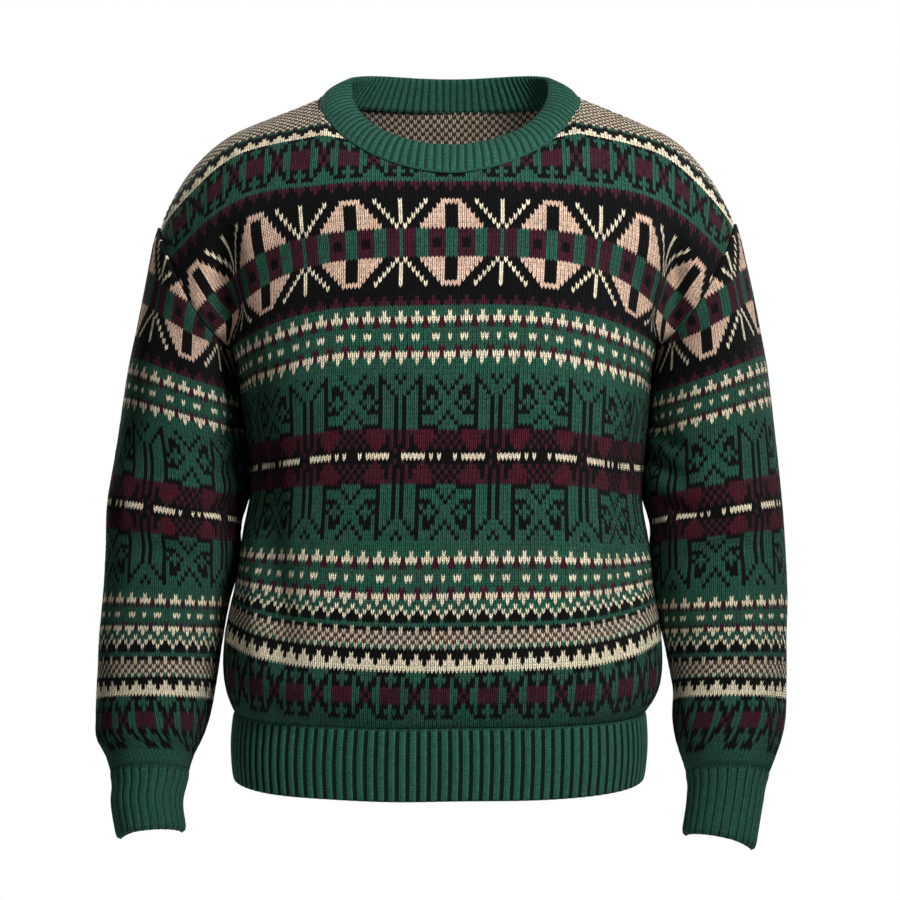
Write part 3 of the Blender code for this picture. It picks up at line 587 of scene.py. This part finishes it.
def sleeve_lines(side):
    """Lines up the sleeve at each half stitch from its outer line, with their rows."""
    sign = -1.0 if side == "left" else 1.0
    fine = np.linspace(0, np.pi, 361)
    wale = np.arange(-57.5, 57.75, 0.5)
    rows = list(range(-2, 84))
    lines, angles = [], []
    for row in rows:
        arc = arc_length(ring_points(side, row, fine))
        twist = TWIST[side] * (1 - (wale / wale[-1]) ** 2) * (1 - smooth(row, 60, 80))
        place = wale + twist
        turn = np.interp(np.abs(place) * SLEEVE_PITCH, arc, fine) * np.sign(place)
        lines.append(ring_points(side, row, turn))
        angles.append(turn)
    turn = angles[-1]
    loop, _, inward = armhole(side, turn)
    end = lines[-1]
    reach = np.linalg.norm(loop - end, axis=-1)[:, None]
    lean = ((1 + np.cos(turn)) / 2)[:, None]
    tilt = np.radians(18.0)
    up = unit(lean * np.array([-sign * np.sin(tilt), 0, np.cos(tilt)])
              + (1 - lean) * np.array([0, 0, 1.0]))
    chord, outer = end - loop, lean ** 2
    leave = -inward * reach * 0.35 * (1 - outer) + chord * outer
    arrive = -up * reach * (1 - outer) + chord * outer
    steps = np.linspace(1, 0, 27)[1:]
    cap = [hermite(loop, end, leave, arrive, np.full(len(turn), w)) for w in steps]
    points = np.stack(lines + cap, 1)
    climb = arc_length(points[:, len(rows) - 1:], axis=1)[:, 1:]
    seam_row = CAP_ROW + CAP_RISE * np.cos(turn)
    cap_rows = 83 + (seam_row - 83)[:, None] * climb / climb[:, -1:]
    row_lines = np.concatenate([np.tile(np.array(rows, float), (len(wale), 1)), cap_rows], 1)
    angle = np.stack(angles + [turn] * len(steps), 1)
    centre = points.mean(0, keepdims=True)
    normal = surface_normals(points, points - centre)
    normal[[0, -1]] = normal[[1, -2]]
    to_seam = seam_row[:, None] - row_lines
    fade = smooth(to_seam, 0, 6)
    waves = soft_waves(angle * 8, points[..., 2] * 60, 21 + (side == "left"), 7, 1.0) * 0.0007
    drop = np.exp(-(to_seam / 1.4) ** 2) * 0.0012
    offset = (crease_offset(points, angle) + waves * smooth(row_lines, -2, 4)) * fade - drop
    points = points + normal * offset[..., None]
    return wale, row_lines, points, normal, angle


def knit_sleeve(side):
    """A sleeve, stitch by stitch, closed along the underarm line."""
    wale, rows, points, normal, angle = sleeve_lines(side)
    wobble = unevenness(np.abs(wale), rows, 31, 0.08)
    level = form_row(np.arange(wobble.shape[1]) + wobble, SLEEVE_PLACES)
    held = np.array([np.interp(level[k], rows[k], np.abs(angle[k]))
                     for k in range(len(wale))]) > np.pi - SEAM_REACH
    corners, place = stitch_corners(wale, rows, points, normal, wobble, 13, held,
                                    SLEEVE_PLACES, SLEEVE_START, 1.0)
    corners = np.where(held[..., None], corners[-1:], corners)
    corners[0] = corners[-1]
    column = 96 - np.abs(np.floor(wale[:-1] + 0.75).astype(int) - CENTRE_WALE)
    return knit_sheet("sleeve_knit_" + side, corners, wale, place, column,
                      last_rows(rows[:, -1], SLEEVE_PLACES), 1 if side == "right" else -1)


def past_edge(row, top, places=ROW_PLACES):
    """How far each stitch corner would stand past the cloth's first or last row."""
    tall = np.interp(top, places[:, 1], places[:, 0])[:, None]
    return np.maximum(row - tall, 0) + np.minimum(row, 0)


def last_rows(top, places=ROW_PLACES):
    """The last whole chart row of each line of half stitches."""
    tall = np.interp(top, places[:, 1], places[:, 0])
    return np.floor((tall[:-1] + tall[1:]) / 2 - 0.4).astype(int)


def knit_sheet(name, points, wale, row, column, last, turn):
    """A sheet of stitches coloured by the chart, each cell one leg of a stitch."""
    letters = {k: linear(v) for k, v in YARNS.items()}
    legs = np.where((wale[:-1] + 0.5) % 1.0 < 0.5, -1, 1)
    yarn = np.array([[letters[stitch_letter(min(r, end), int(c), leg)]
                      for r in range(row.shape[1] - 1)]
                     for c, end, leg in zip(column, last, legs)])
    uv = np.stack([np.broadcast_to((wale + 0.5)[:, None], row.shape), row], -1)
    return cloth(name, points, uv, yarn, turn, (stitch_wool, purl_wool))


def values_of(items, field, size, kind=float):
    """One field of a mesh's vertices, corners or faces, all in one array."""
    out = np.empty(len(items) * size, kind)
    items.foreach_get(field, out)
    return out


def cloth(name, points, uv, yarn, turn, materials, thick=CLOTH):
    """A closed thin shell whose outer face is a grid of points, with the yarn's colours."""
    nu, nv = points.shape[0] - 1, points.shape[1] - 1
    bm = bmesh.new()
    bmesh.ops.create_grid(bm, x_segments=nu, y_segments=nv, size=1.0)
    mesh = bpy.data.meshes.new(name)
    bm.to_mesh(mesh)
    xyz = values_of(mesh.vertices, "co", 3)
    i = np.rint((xyz[0::3] + 1) / 2 * nu).astype(int)
    j = np.rint((xyz[1::3] + 1) / 2 * nv).astype(int)
    mesh.vertices.foreach_set("co", points[i, j].ravel())
    corner = values_of(mesh.loops, "vertex_index", 1, int)
    mesh.uv_layers.new(name="knit").data.foreach_set("uv", uv[i, j][corner].ravel())
    flat = np.stack([i / nu, j / nv * 0.495], -1)[corner]
    mesh.uv_layers.new(name="OFBake").data.foreach_set("uv", flat.ravel())
    quads = corner.reshape(-1, 4)
    shade = yarn[i[quads].min(1), j[quads].min(1)]
    rgba = np.repeat(np.concatenate([shade, np.ones((len(shade), 1))], 1), 4, axis=0)
    mesh.color_attributes.new("yarn", "FLOAT_COLOR", "CORNER").data.foreach_set(
        "color", rgba.ravel())
    bm.clear()
    bm.from_mesh(mesh)
    bmesh.ops.remove_doubles(bm, verts=bm.verts, dist=1e-6)
    if turn < 0:
        bmesh.ops.reverse_faces(bm, faces=bm.faces)
    for face in bm.faces:
        face.smooth = True
    bm.to_mesh(mesh)
    bm.free()
    return walled(name, mesh, materials, thick)


def walled(name, mesh, materials, thick):
    """Give the sheet its thickness, the inside taking the second material."""
    obj = bpy.data.objects.new(name, mesh)
    bpy.context.scene.collection.objects.link(obj)
    for mat in materials:
        mesh.materials.append(mat)
    faces = len(mesh.polygons)
    wall = obj.modifiers.new("wall", "SOLIDIFY")
    wall.thickness, wall.offset, wall.use_quality_normals = thick, -1.0, True
    wall.material_offset, wall.material_offset_rim = 1, 0
    graph = bpy.context.evaluated_depsgraph_get()
    solid = bpy.data.meshes.new_from_object(obj.evaluated_get(graph), depsgraph=graph)
    obj.modifiers.clear()
    obj.data = solid
    solid.name = name
    bpy.data.meshes.remove(mesh)
    bake = solid.uv_layers["OFBake"]
    uv = values_of(bake.data, "uv", 2).reshape(-1, 2)
    face = np.repeat(np.arange(len(solid.polygons)),
                     values_of(solid.polygons, "loop_total", 1, int))
    uv[(face >= faces) & (face < 2 * faces), 1] += 0.505
    bake.data.foreach_set("uv", uv.ravel())
    return obj


# ---------------------------------------------------------------- ribbing
RIB_STEPS = 6             # points across a rib
RIB_SHAPE = np.array([-1.0, 0.05, 0.9, 1.05, 0.9, 0.05]) * RIB_RAISE * 0.55
BAND_ROWS = 24            # rows in a welt or cuff
EDGE_TURN = 0.0014        # how far the last row turns in
HEM_SHORT, HEM_SIDE_SHORT = 0.0015, 0.0045    # the hem's edge lifts in all, and at its sides
CUFF_PAINTED_SHADE = 0.8          # painted shade: the cuffs' colour is made a little darker
CUFF_BACK_RISE = 0.013    # the cuff's edge runs up a little behind the wrist
TUCKED_UNDER = 0.0007     # how far the top of a rib lies below the knitting it hangs from


def rib_heights(count):
    """Height of each line of points across so many ribs."""
    return np.append(np.tile(RIB_SHAPE, count), RIB_SHAPE[0])[:, None]


def raise_ribs(grid, normal, count, steps, full, fade):
    """Raise a band's ribs, flat at its first row and lower again at its turned edge."""
    grow = smooth(steps, -0.02, full) - 0.5 * smooth(steps, fade, 1.0)
    sunk = TUCKED_UNDER * (1 - smooth(steps, -0.01, 0.04)) + EDGE_TURN * (steps > 1)
    return grid + normal * (rib_heights(count) * grow[None] - sunk[None])[..., None]


def rib_places(count, rows):
    """Each point's place in its band, in ribs and rows."""
    ribs = np.arange(count * RIB_STEPS + 1) / RIB_STEPS
    return np.stack(np.meshgrid(ribs, rows, indexing="ij"), -1)


def rib_colour(points, shade=1.0):
    # shade below 1 darkens the yarn's colour as painted shade, as on the cuffs
    nu, nv = points.shape[0] - 1, points.shape[1] - 1
    return np.tile(linear(RIB_YARN) * shade, (nu, nv, 1))


def welt(name, back):
    """Half of the hem rib, hung from the panel's first row."""
    edge = panel_lines(back)[2][:, 0]
    arc = arc_length(edge)
    share = np.linspace(0, 1, HEM_RIBS * RIB_STEPS + 1)
    top = np.stack([np.interp(share * arc[-1], arc, edge[:, k]) for k in range(3)], -1)
    t = share * 2 - 1
    steps = np.concatenate([[-0.035, 0.0], np.linspace(0.025, 1, 24), [1.012]])
    wave = soft_waves(t * 9, 0 * t, 41 + back, 4, 1.0)[:, None] * 0.0009
    sway = wave * np.sin(steps * np.pi * 0.9)[None] + wave * 0.4 * steps[None]
    tangent = unit(np.gradient(top * (1, 1, 0), axis=0))
    grid = np.repeat(top[:, None], len(steps), 1)
    bulge = 1 + 0.012 * np.sin(np.clip(steps, 0, 1) * np.pi) - 0.002 * steps
    grid[..., :2] *= bulge[None, :, None]
    grid[..., 0] -= 0.001 * steps
    grid[..., 2] -= (HEM_DEPTH - HEM_SHORT - HEM_SIDE_SHORT * t[:, None] ** 4) * steps
    inside_ends = np.minimum(smooth(share, 0, 0.02), 1 - smooth(share, 0.98, 1))
    grid += tangent[:, None] * (sway * inside_ends[:, None])[..., None]
    normal = surface_normals(grid, np.array([0, 1.0 if back else -1.0, 0]))
    grid = raise_ribs(grid, normal, HEM_RIBS, steps, 0.05, 0.93)
    uv = rib_places(HEM_RIBS, steps * BAND_ROWS)
    return cloth(name, grid[:, ::-1], uv[:, ::-1], rib_colour(grid), -1 if back else 1,
                 (rib_wool, rib_inside))


def cuff(side):
    """The rib tube round the wrist."""
    steps = np.concatenate([[-0.03, 0.0], np.linspace(0.025, 1, 25), [1.01]])
    angle = np.linspace(0, 2 * np.pi, CUFF_RIBS * RIB_STEPS + 1)
    lean = soft_waves(angle, 0 * angle, 51 + (side == "left"), 3, 3.0) * 0.03
    rings = [ring_points(side, SLEEVE_START - (14 + SLEEVE_START) * s, angle + lean
                         * np.sin(s * 3) * np.sin(angle / 2) ** 2) for s in steps]
    grid = np.stack(rings, 1)
    behind = np.maximum(-np.sin(angle), 0)[:, None]
    grid[..., 2] += CUFF_BACK_RISE * behind * np.clip(steps, 0, 1) ** 2
    normal = surface_normals(grid, grid - grid.mean(0, keepdims=True))
    normal[0] = normal[-1] = unit(normal[1] + normal[-2])
    grid = raise_ribs(grid, normal, CUFF_RIBS, steps, 0.06, 0.94)
    uv = rib_places(CUFF_RIBS, steps * BAND_ROWS)
    return cloth("cuff_rib_" + side, grid[:, ::-1], uv[:, ::-1],
                 rib_colour(grid, CUFF_PAINTED_SHADE), 1 if side == "right" else -1,
                 (rib_wool, rib_inside))


def neck_seam(angle):
    """Neckline and its wall direction all round: 0 at the front, 180 degrees at the back."""
    a = (angle + np.pi) % (2 * np.pi) - np.pi
    side = np.where(a < 0, -1.0, 1.0)
    a = np.abs(a)
    back = a > np.pi / 2
    quarter = np.where(back, np.pi - a, a)
    seam = np.where(back[:, None], neckline(quarter, True), neckline(quarter, False))
    normal = np.where(back[:, None], neck_normal(quarter, True), neck_normal(quarter, False))
    flip = np.stack([side, 1 + 0 * side, 1 + 0 * side], -1)
    return seam * flip, normal * flip


BAND_STAND, BAND_CROWN = 0.0012, 0.0034    # the band off its seam, and its bulge half-way up
BAND_HALF, BAND_CREASE = 0.0019, 0.0014    # half of the folded edge, and the edge's own offset
BAND_ROW, BAND_THICK, BAND_RIB_SHARE = 0.0034, 0.0014, 0.62


def neckband():
    """A rib band folded over at its top edge and sewn down inside."""
    turn = np.linspace(0, 2 * np.pi, NECK_RIBS * RIB_STEPS + 1)
    angle = turn + 0.10 * np.sin(2 * turn)
    low, low_n = neck_seam(angle)
    high = band_top(angle)
    across = high - low
    normal = unit(low_n - np.sum(low_n * unit(across), -1, keepdims=True) * unit(across))
    # share of the way up, distance out, and which way the ribs stand: out, over and in
    outer = [(a, BAND_STAND + BAND_CROWN * np.sin(max(a, 0) * np.pi) ** 0.8, 1.0)
             for a in np.linspace(-0.08, 0.93, 13)]
    roll = [(0.93 + 0.07 * np.sin(b), BAND_CREASE - BAND_HALF + BAND_HALF * np.cos(b), np.cos(b))
            for b in np.linspace(0.3, np.pi, 7)]
    inner = [(a, BAND_CREASE - 2 * BAND_HALF - 0.0004, -1.0)
             for a in np.linspace(0.86, -0.06, 7)]
    grid, grows = [], []
    for k, (a, lift, facing) in enumerate(outer + roll + inner):
        grid.append(low + across * a + normal * lift)
        grows.append(facing * smooth(k, 1.6, 3.4))
    grid = np.stack(grid, 1)
    relief = rib_heights(NECK_RIBS) * BAND_RIB_SHARE
    grid = grid + normal[:, None] * (relief * np.array(grows)[None])[..., None]
    uv = rib_places(NECK_RIBS, arc_length(grid[:1], axis=1)[0] / BAND_ROW)
    grid[-1] = grid[0]
    return cloth("neckband_rib", grid, uv, rib_colour(grid), 1, (band_wool, band_wool),
                 BAND_THICK)


# ---------------------------------------------------------------- wool
def nodes_of(tree, kind, **values):
    node = tree.nodes.new(kind)
    for key, value in values.items():
        setattr(node, key, value)
    return node


def maths(tree, operation, a, b=0.0, c=0.0, clamp=False):
    node = nodes_of(tree, "ShaderNodeMath", operation=operation, use_clamp=clamp)
    for k, value in enumerate((a, b, c)):
        if isinstance(value, bpy.types.NodeSocket):
            tree.links.new(value, node.inputs[k])
        else:
            node.inputs[k].default_value = value
    return node.outputs[0]


def arithmetic(tree):
    """Functions that each add one arithmetic node to a tree."""
    def function(operation):
        return lambda a, b=0.0, clamp=False: maths(tree, operation, a, b, clamp=clamp)
    return [function(operation) for operation in
            ("ADD", "SUBTRACT", "MULTIPLY", "POWER", "ABSOLUTE", "FRACT")]


def new_group(name, inputs, outputs):
    tree = bpy.data.node_groups.new(name, "ShaderNodeTree")
    for label, kind, value in inputs:
        socket = tree.interface.new_socket(name=label, in_out="INPUT", socket_type=kind)
        if value is not None:
            socket.default_value = value
    for label, kind in outputs:
        tree.interface.new_socket(name=label, in_out="OUTPUT", socket_type=kind)
    into = tree.nodes.new("NodeGroupInput")
    out = tree.nodes.new("NodeGroupOutput")
    return tree, into, out


def stitch_group():
    """Height and gap mask of one leg of a V stitch, from its place in stitches and rows.
    The gap mask marks where painted shade darkens the seams and notches between the legs.
    """
    tree, into, out = new_group(
        "v_stitch", [("Place", "NodeSocketVector", None), ("Twist", "NodeSocketFloat", 0.16)],
        [("Height", "NodeSocketFloat"), ("Gap", "NodeSocketFloat")])
    split = tree.nodes.new("ShaderNodeSeparateXYZ")
    tree.links.new(into.outputs["Place"], split.inputs[0])
    add, sub, mul, power, absolute, fract = arithmetic(tree)
    across, up = fract(split.outputs[0]), fract(split.outputs[1])
    arm = absolute(sub(across, 0.5))
    off = mul(absolute(sub(arm, 0.25)), 4)
    ends = power(absolute(sub(mul(up, 2), 1)), 5)
    body = mul(sub(1.0, power(off, 2.6)), sub(1.0, mul(ends, 0.5)))
    ply = maths(tree, "SINE", add(mul(up, 12.5), mul(arm, 26.0)))
    tree.links.new(add(body, mul(ply, into.outputs["Twist"])), out.inputs["Height"])
    # gap mask for painted shade: the seam between wales, the notch in the V, the leg ends
    seam = mul(sub(arm, 0.32), 6.0, clamp=True)
    notch = mul(mul(sub(0.13, arm), 7.0, clamp=True), add(mul(up, 0.6), 0.2))
    corner = mul(ends, add(0.35, seam))
    gap = add(add(mul(seam, 0.75), notch), mul(corner, 0.5), clamp=True)
    tree.links.new(gap, out.inputs["Gap"])
    return tree


def rib_group():
    """Height and gap mask of two-stitch ribs, and a mask of painted shade between the ribs less
    a painted highlight on their right sides, from a place in ribs and rows.
    """
    tree, into, out = new_group(
        "rib_stitch", [("Place", "NodeSocketVector", None)],
        [("Height", "NodeSocketFloat"), ("Valley Shade And Highlight", "NodeSocketFloat"),
         ("Gap", "NodeSocketFloat")])
    split = tree.nodes.new("ShaderNodeSeparateXYZ")
    tree.links.new(into.outputs["Place"], split.inputs[0])
    add, sub, mul, power, absolute, fract = arithmetic(tree)
    across, row = fract(split.outputs[0]), split.outputs[1]
    off = absolute(sub(across, 0.5))
    # painted shade in the furrow between two ribs
    valley_shade_and_highlight = mul(maths(tree, "MAXIMUM", sub(off, 0.25), 0.0), 8.0)
    valley_shade_and_highlight = maths(tree, "SMOOTH_MIN", valley_shade_and_highlight, 1.0, 0.15)
    # the ribs begin below a plain linking row of slanted stitches
    ribbed = mul(sub(row, 0.55), 2.2, clamp=True)
    # painted shade between the slanted stitches of the linking row
    chain = mul(absolute(sub(fract(add(mul(across, 4.0), row)), 0.5)), 1.5)
    # painted highlight down the right side of each rib, where the light catches it
    painted_highlight = sub(1.0, mul(absolute(sub(across, 0.72)), 14.0), clamp=True)
    valley_shade_and_highlight = sub(mul(valley_shade_and_highlight, ribbed), mul(painted_highlight, 0.45))
    valley_shade_and_highlight = add(valley_shade_and_highlight, mul(chain, sub(1.0, ribbed)))
    tree.links.new(valley_shade_and_highlight, out.inputs["Valley Shade And Highlight"])
    leg = absolute(maths(tree, "SINE", mul(off, 18.85)))
    slant = add(row, mul(maths(tree, "PINGPONG", off, 0.166), 3.2))
    end = absolute(sub(mul(fract(slant), 2), 1))
    body = mul(power(leg, 0.5), sub(1.0, mul(power(end, 3), 0.7)))
    tree.links.new(body, out.inputs["Height"])
    tree.links.new(sub(1.0, body, clamp=True), out.inputs["Gap"])
    return tree


def wool_group():
    """Yarn colour made uneven by heathered fibres, stitch by stitch, with painted shade in the
    gaps.
    """
    tree, into, out = new_group(
        "wool_colour",
        [("Yarn", "NodeSocketColor", (0.5, 0.5, 0.5, 1)), ("Stitch", "NodeSocketVector", None),
         ("Gap", "NodeSocketFloat", 0.0), ("Painted Gap Shade", "NodeSocketFloat", 0.7),
         ("Heather", "NodeSocketFloat", 0.25), ("Own", "NodeSocketFloat", 0.3)],
        [("Color", "NodeSocketColor"), ("Fuzz", "NodeSocketFloat")])
    place = tree.nodes.new("ShaderNodeTexCoord")

    def noise(scale, detail):
        node = nodes_of(tree, "ShaderNodeTexNoise", noise_dimensions="3D")
        node.inputs["Scale"].default_value = scale
        node.inputs["Detail"].default_value = detail
        tree.links.new(place.outputs["Object"], node.inputs["Vector"])
        return node

    fibre, cloud = noise(900, 3), noise(330, 4)
    cell = nodes_of(tree, "ShaderNodeVectorMath", operation="FLOOR")
    tree.links.new(into.outputs["Stitch"], cell.inputs[0])
    chance = nodes_of(tree, "ShaderNodeTexWhiteNoise", noise_dimensions="3D")
    tree.links.new(cell.outputs[0], chance.inputs["Vector"])
    add, sub, mul = arithmetic(tree)[:3]
    speck = mul(sub(fibre.outputs["Fac"], 0.5), 3.2)
    blot = sub(cloud.outputs["Fac"], 0.5)
    own = mul(sub(chance.outputs["Value"], 0.5), into.outputs["Own"])
    uneven = mul(add(add(speck, blot), own), into.outputs["Heather"])
    # painted shade: the colour is darkened where the gap mask is set
    lit = sub(1.0, mul(into.outputs["Gap"], into.outputs["Painted Gap Shade"]))
    shade = mul(add(1.0, uneven), lit)
    tone = nodes_of(tree, "ShaderNodeVectorMath", operation="SCALE")
    tree.links.new(into.outputs["Yarn"], tone.inputs[0])
    tree.links.new(shade, tone.inputs["Scale"])
    tree.links.new(tone.outputs[0], out.inputs["Color"])
    tree.links.new(fibre.outputs["Fac"], out.inputs["Fuzz"])
    return tree


def wool_material(name, stitch, painted_gap_shade, bump, heather, own, darken=1.0):
    """Wool knitted in one stitch: painted shade in its gaps, height of its bump, heathering,
    difference from stitch to stitch, and painted shade darkening the whole."""
    mat = bpy.data.materials.new(name)
    mat.use_nodes = True
    tree = mat.node_tree
    shader = tree.nodes["Principled BSDF"]
    for socket, value in (("Roughness", 0.92), ("Specular IOR Level", 0.08),
                          ("Sheen Weight", 0.02), ("Sheen Roughness", 0.55),
                          ("Sheen Tint", (0.75, 0.8, 0.75, 1))):
        shader.inputs[socket].default_value = value
    place = nodes_of(tree, "ShaderNodeUVMap", uv_map="knit")
    yarn = nodes_of(tree, "ShaderNodeAttribute", attribute_name="yarn")
    knit = nodes_of(tree, "ShaderNodeGroup", node_tree=stitch)
    tree.links.new(place.outputs[0], knit.inputs["Place"])
    wool = nodes_of(tree, "ShaderNodeGroup", node_tree=wool_colour)
    for socket, value in (("Painted Gap Shade", painted_gap_shade), ("Heather", heather), ("Own", own)):
        wool.inputs[socket].default_value = value
    tree.links.new(yarn.outputs["Color"], wool.inputs["Yarn"])
    tree.links.new(place.outputs[0], wool.inputs["Stitch"])
    gap = knit.outputs["Gap"]
    # for ribs: painted shade in the gaps and furrows, lightened by the painted highlight
    if stitch is rib_stitch:
        gap = maths(tree, "ADD", maths(tree, "MULTIPLY", gap, 0.3), knit.outputs["Valley Shade And Highlight"])
        gap = maths(tree, "MINIMUM", gap, 1.0)
    tree.links.new(gap, wool.inputs["Gap"])
    colour = wool.outputs["Color"]
    # painted shade: the inside copies are darkened all over
    if darken != 1.0:
        dim = nodes_of(tree, "ShaderNodeVectorMath", operation="SCALE")
        dim.inputs["Scale"].default_value = darken
        tree.links.new(colour, dim.inputs[0])
        colour = dim.outputs[0]
    tree.links.new(colour, shader.inputs["Base Color"])
    height = maths(tree, "ADD", knit.outputs["Height"],
                   maths(tree, "MULTIPLY", wool.outputs["Fuzz"], 0.5))
    rise = tree.nodes.new("ShaderNodeBump")
    rise.inputs["Strength"].default_value = 1.0
    rise.inputs["Distance"].default_value = bump
    tree.links.new(height, rise.inputs["Height"])
    tree.links.new(rise.outputs[0], shader.inputs["Normal"])
    return mat


v_stitch, rib_stitch, wool_colour = stitch_group(), rib_group(), wool_group()
stitch_wool = wool_material("patterned_wool", v_stitch, 0.92, 0.0009, 0.75, 0.35)
# the inside materials are darker copies of the outside wool: painted shade
purl_wool = wool_material("patterned_wool_inside", v_stitch, 0.85, 0.0008, 0.6, 0.35, darken=0.8)
rib_wool = wool_material("green_rib_wool", rib_stitch, 0.88, 0.0006, 0.7, 0.0)
band_wool = wool_material("green_neckband_wool", rib_stitch, 0.60, 0.0006, 0.7, 0.0)
rib_inside = wool_material("green_rib_inside", rib_stitch, 0.85, 0.0006, 0.7, 0.0, darken=0.85)

# ---------------------------------------------------------------- the jumper
PANEL_CUT, SLEEVE_CUT = (0.575, 0.60), (0.42, 0.50)
front = knit_panel("front_knit", back=False)
back = knit_panel("back_knit", back=True)
welt_front = welt("welt_front_rib", back=False)
welt_back = welt("welt_back_rib", back=True)
collar = neckband()
sleeves = {side: knit_sleeve(side) for side in ("left", "right")}
cuffs = {side: cuff(side) for side in ("left", "right")}

dressed = [(front, "front", "patterned_knit", PANEL_CUT),
           (back, "back", "patterned_knit", PANEL_CUT),
           (welt_front, "welt_front", "green_rib", (0.52, HEM_DEPTH)),
           (welt_back, "welt_back", "green_rib", (0.50, HEM_DEPTH)),
           (collar, "neckband", "green_rib", (0.60, 0.06))]
for side in ("left", "right"):
    dressed.append((sleeves[side], "sleeve_" + side, "patterned_knit", SLEEVE_CUT))
    dressed.append((cuffs[side], "cuff_" + side, "green_rib", (0.235, 0.075)))
for piece, node, slot, cut in dressed:
    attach(piece, "root")
    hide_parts(node)

# ---------------------------------------------------------------- studio
MIDDLE = (0, 0, -0.33)
FLOOR_RADIUS, FLOOR_HEIGHT = 0.75, -1.0


def studio_panel(name, place, aim, size, power, spread=180):
    lamp = bpy.data.lights.new(name, "AREA")
    lamp.shape, lamp.size, lamp.energy, lamp.spread = "DISK", size, power, np.radians(spread)
    obj = bpy.data.objects.new(name, lamp)
    obj.location = place
    obj.rotation_euler = (Vector(aim) - Vector(place)).to_track_quat("-Z", "Y").to_euler()
    bpy.context.scene.collection.objects.link(obj)
    return obj


def floor():
    """A pale disc below the hanging jumper."""
    bm = bmesh.new()
    bmesh.ops.create_circle(bm, cap_ends=True, segments=96, radius=FLOOR_RADIUS)
    bmesh.ops.translate(bm, verts=bm.verts, vec=(0, 0, FLOOR_HEIGHT))
    mesh = bpy.data.meshes.new("floor")
    bm.to_mesh(mesh)
    bm.free()
    obj = bpy.data.objects.new("floor", mesh)
    mat = bpy.data.materials.new("pale_floor")
    mat.use_nodes = True
    shader = mat.node_tree.nodes["Principled BSDF"]
    shader.inputs["Base Color"].default_value = (0.86, 0.86, 0.86, 1)
    shader.inputs["Roughness"].default_value = 0.9
    mesh.materials.append(mat)
    bpy.context.scene.collection.objects.link(obj)
    return obj


def studio():
    """Soft lights in front and behind, in a white room that gives next to no light itself."""
    studio_panel("key_light", (1.15, -1.75, 1.15), (0.02, 0, -0.10), 0.9, 15.5, 75)
    studio_panel("fill_light", (-0.7, -2.6, 0.3), (0, 0, -0.15), 1.0, 3.4, 90)
    studio_panel("back_light_left", (-1.3, 2.1, 0.7), MIDDLE, 1.2, 60)
    studio_panel("back_light_right", (1.5, 1.9, 0.4), MIDDLE, 1.2, 40)
    white = (1, 1, 1, 1)
    world = bpy.data.worlds.new("studio")
    world.use_nodes = True
    tree = world.node_tree
    sky = tree.nodes["Background"]
    bright = nodes_of(tree, "ShaderNodeBackground")
    bright.inputs["Color"].default_value = white
    bright.inputs["Strength"].default_value = 1.0
    sky.inputs["Color"].default_value = white
    sky.inputs["Strength"].default_value = 0.02
    seen = tree.nodes.new("ShaderNodeLightPath")
    mix = tree.nodes.new("ShaderNodeMixShader")
    tree.links.new(seen.outputs["Is Camera Ray"], mix.inputs[0])
    tree.links.new(sky.outputs[0], mix.inputs[1])
    tree.links.new(bright.outputs[0], mix.inputs[2])
    tree.links.new(mix.outputs[0], tree.nodes["World Output"].inputs[0])
    bpy.context.scene.world = world
    bpy.context.scene.view_settings.view_transform = "Standard"


def camera():
    lens = bpy.data.cameras.new("camera")
    lens.lens, lens.sensor_width = 92.6, 36.0
    obj = bpy.data.objects.new("camera", lens)
    obj.location = (0, -2.2, -0.335)
    obj.rotation_euler = (np.pi / 2, 0, 0)
    bpy.context.scene.collection.objects.link(obj)
    bpy.context.scene.camera = obj


floor()
studio()
camera()
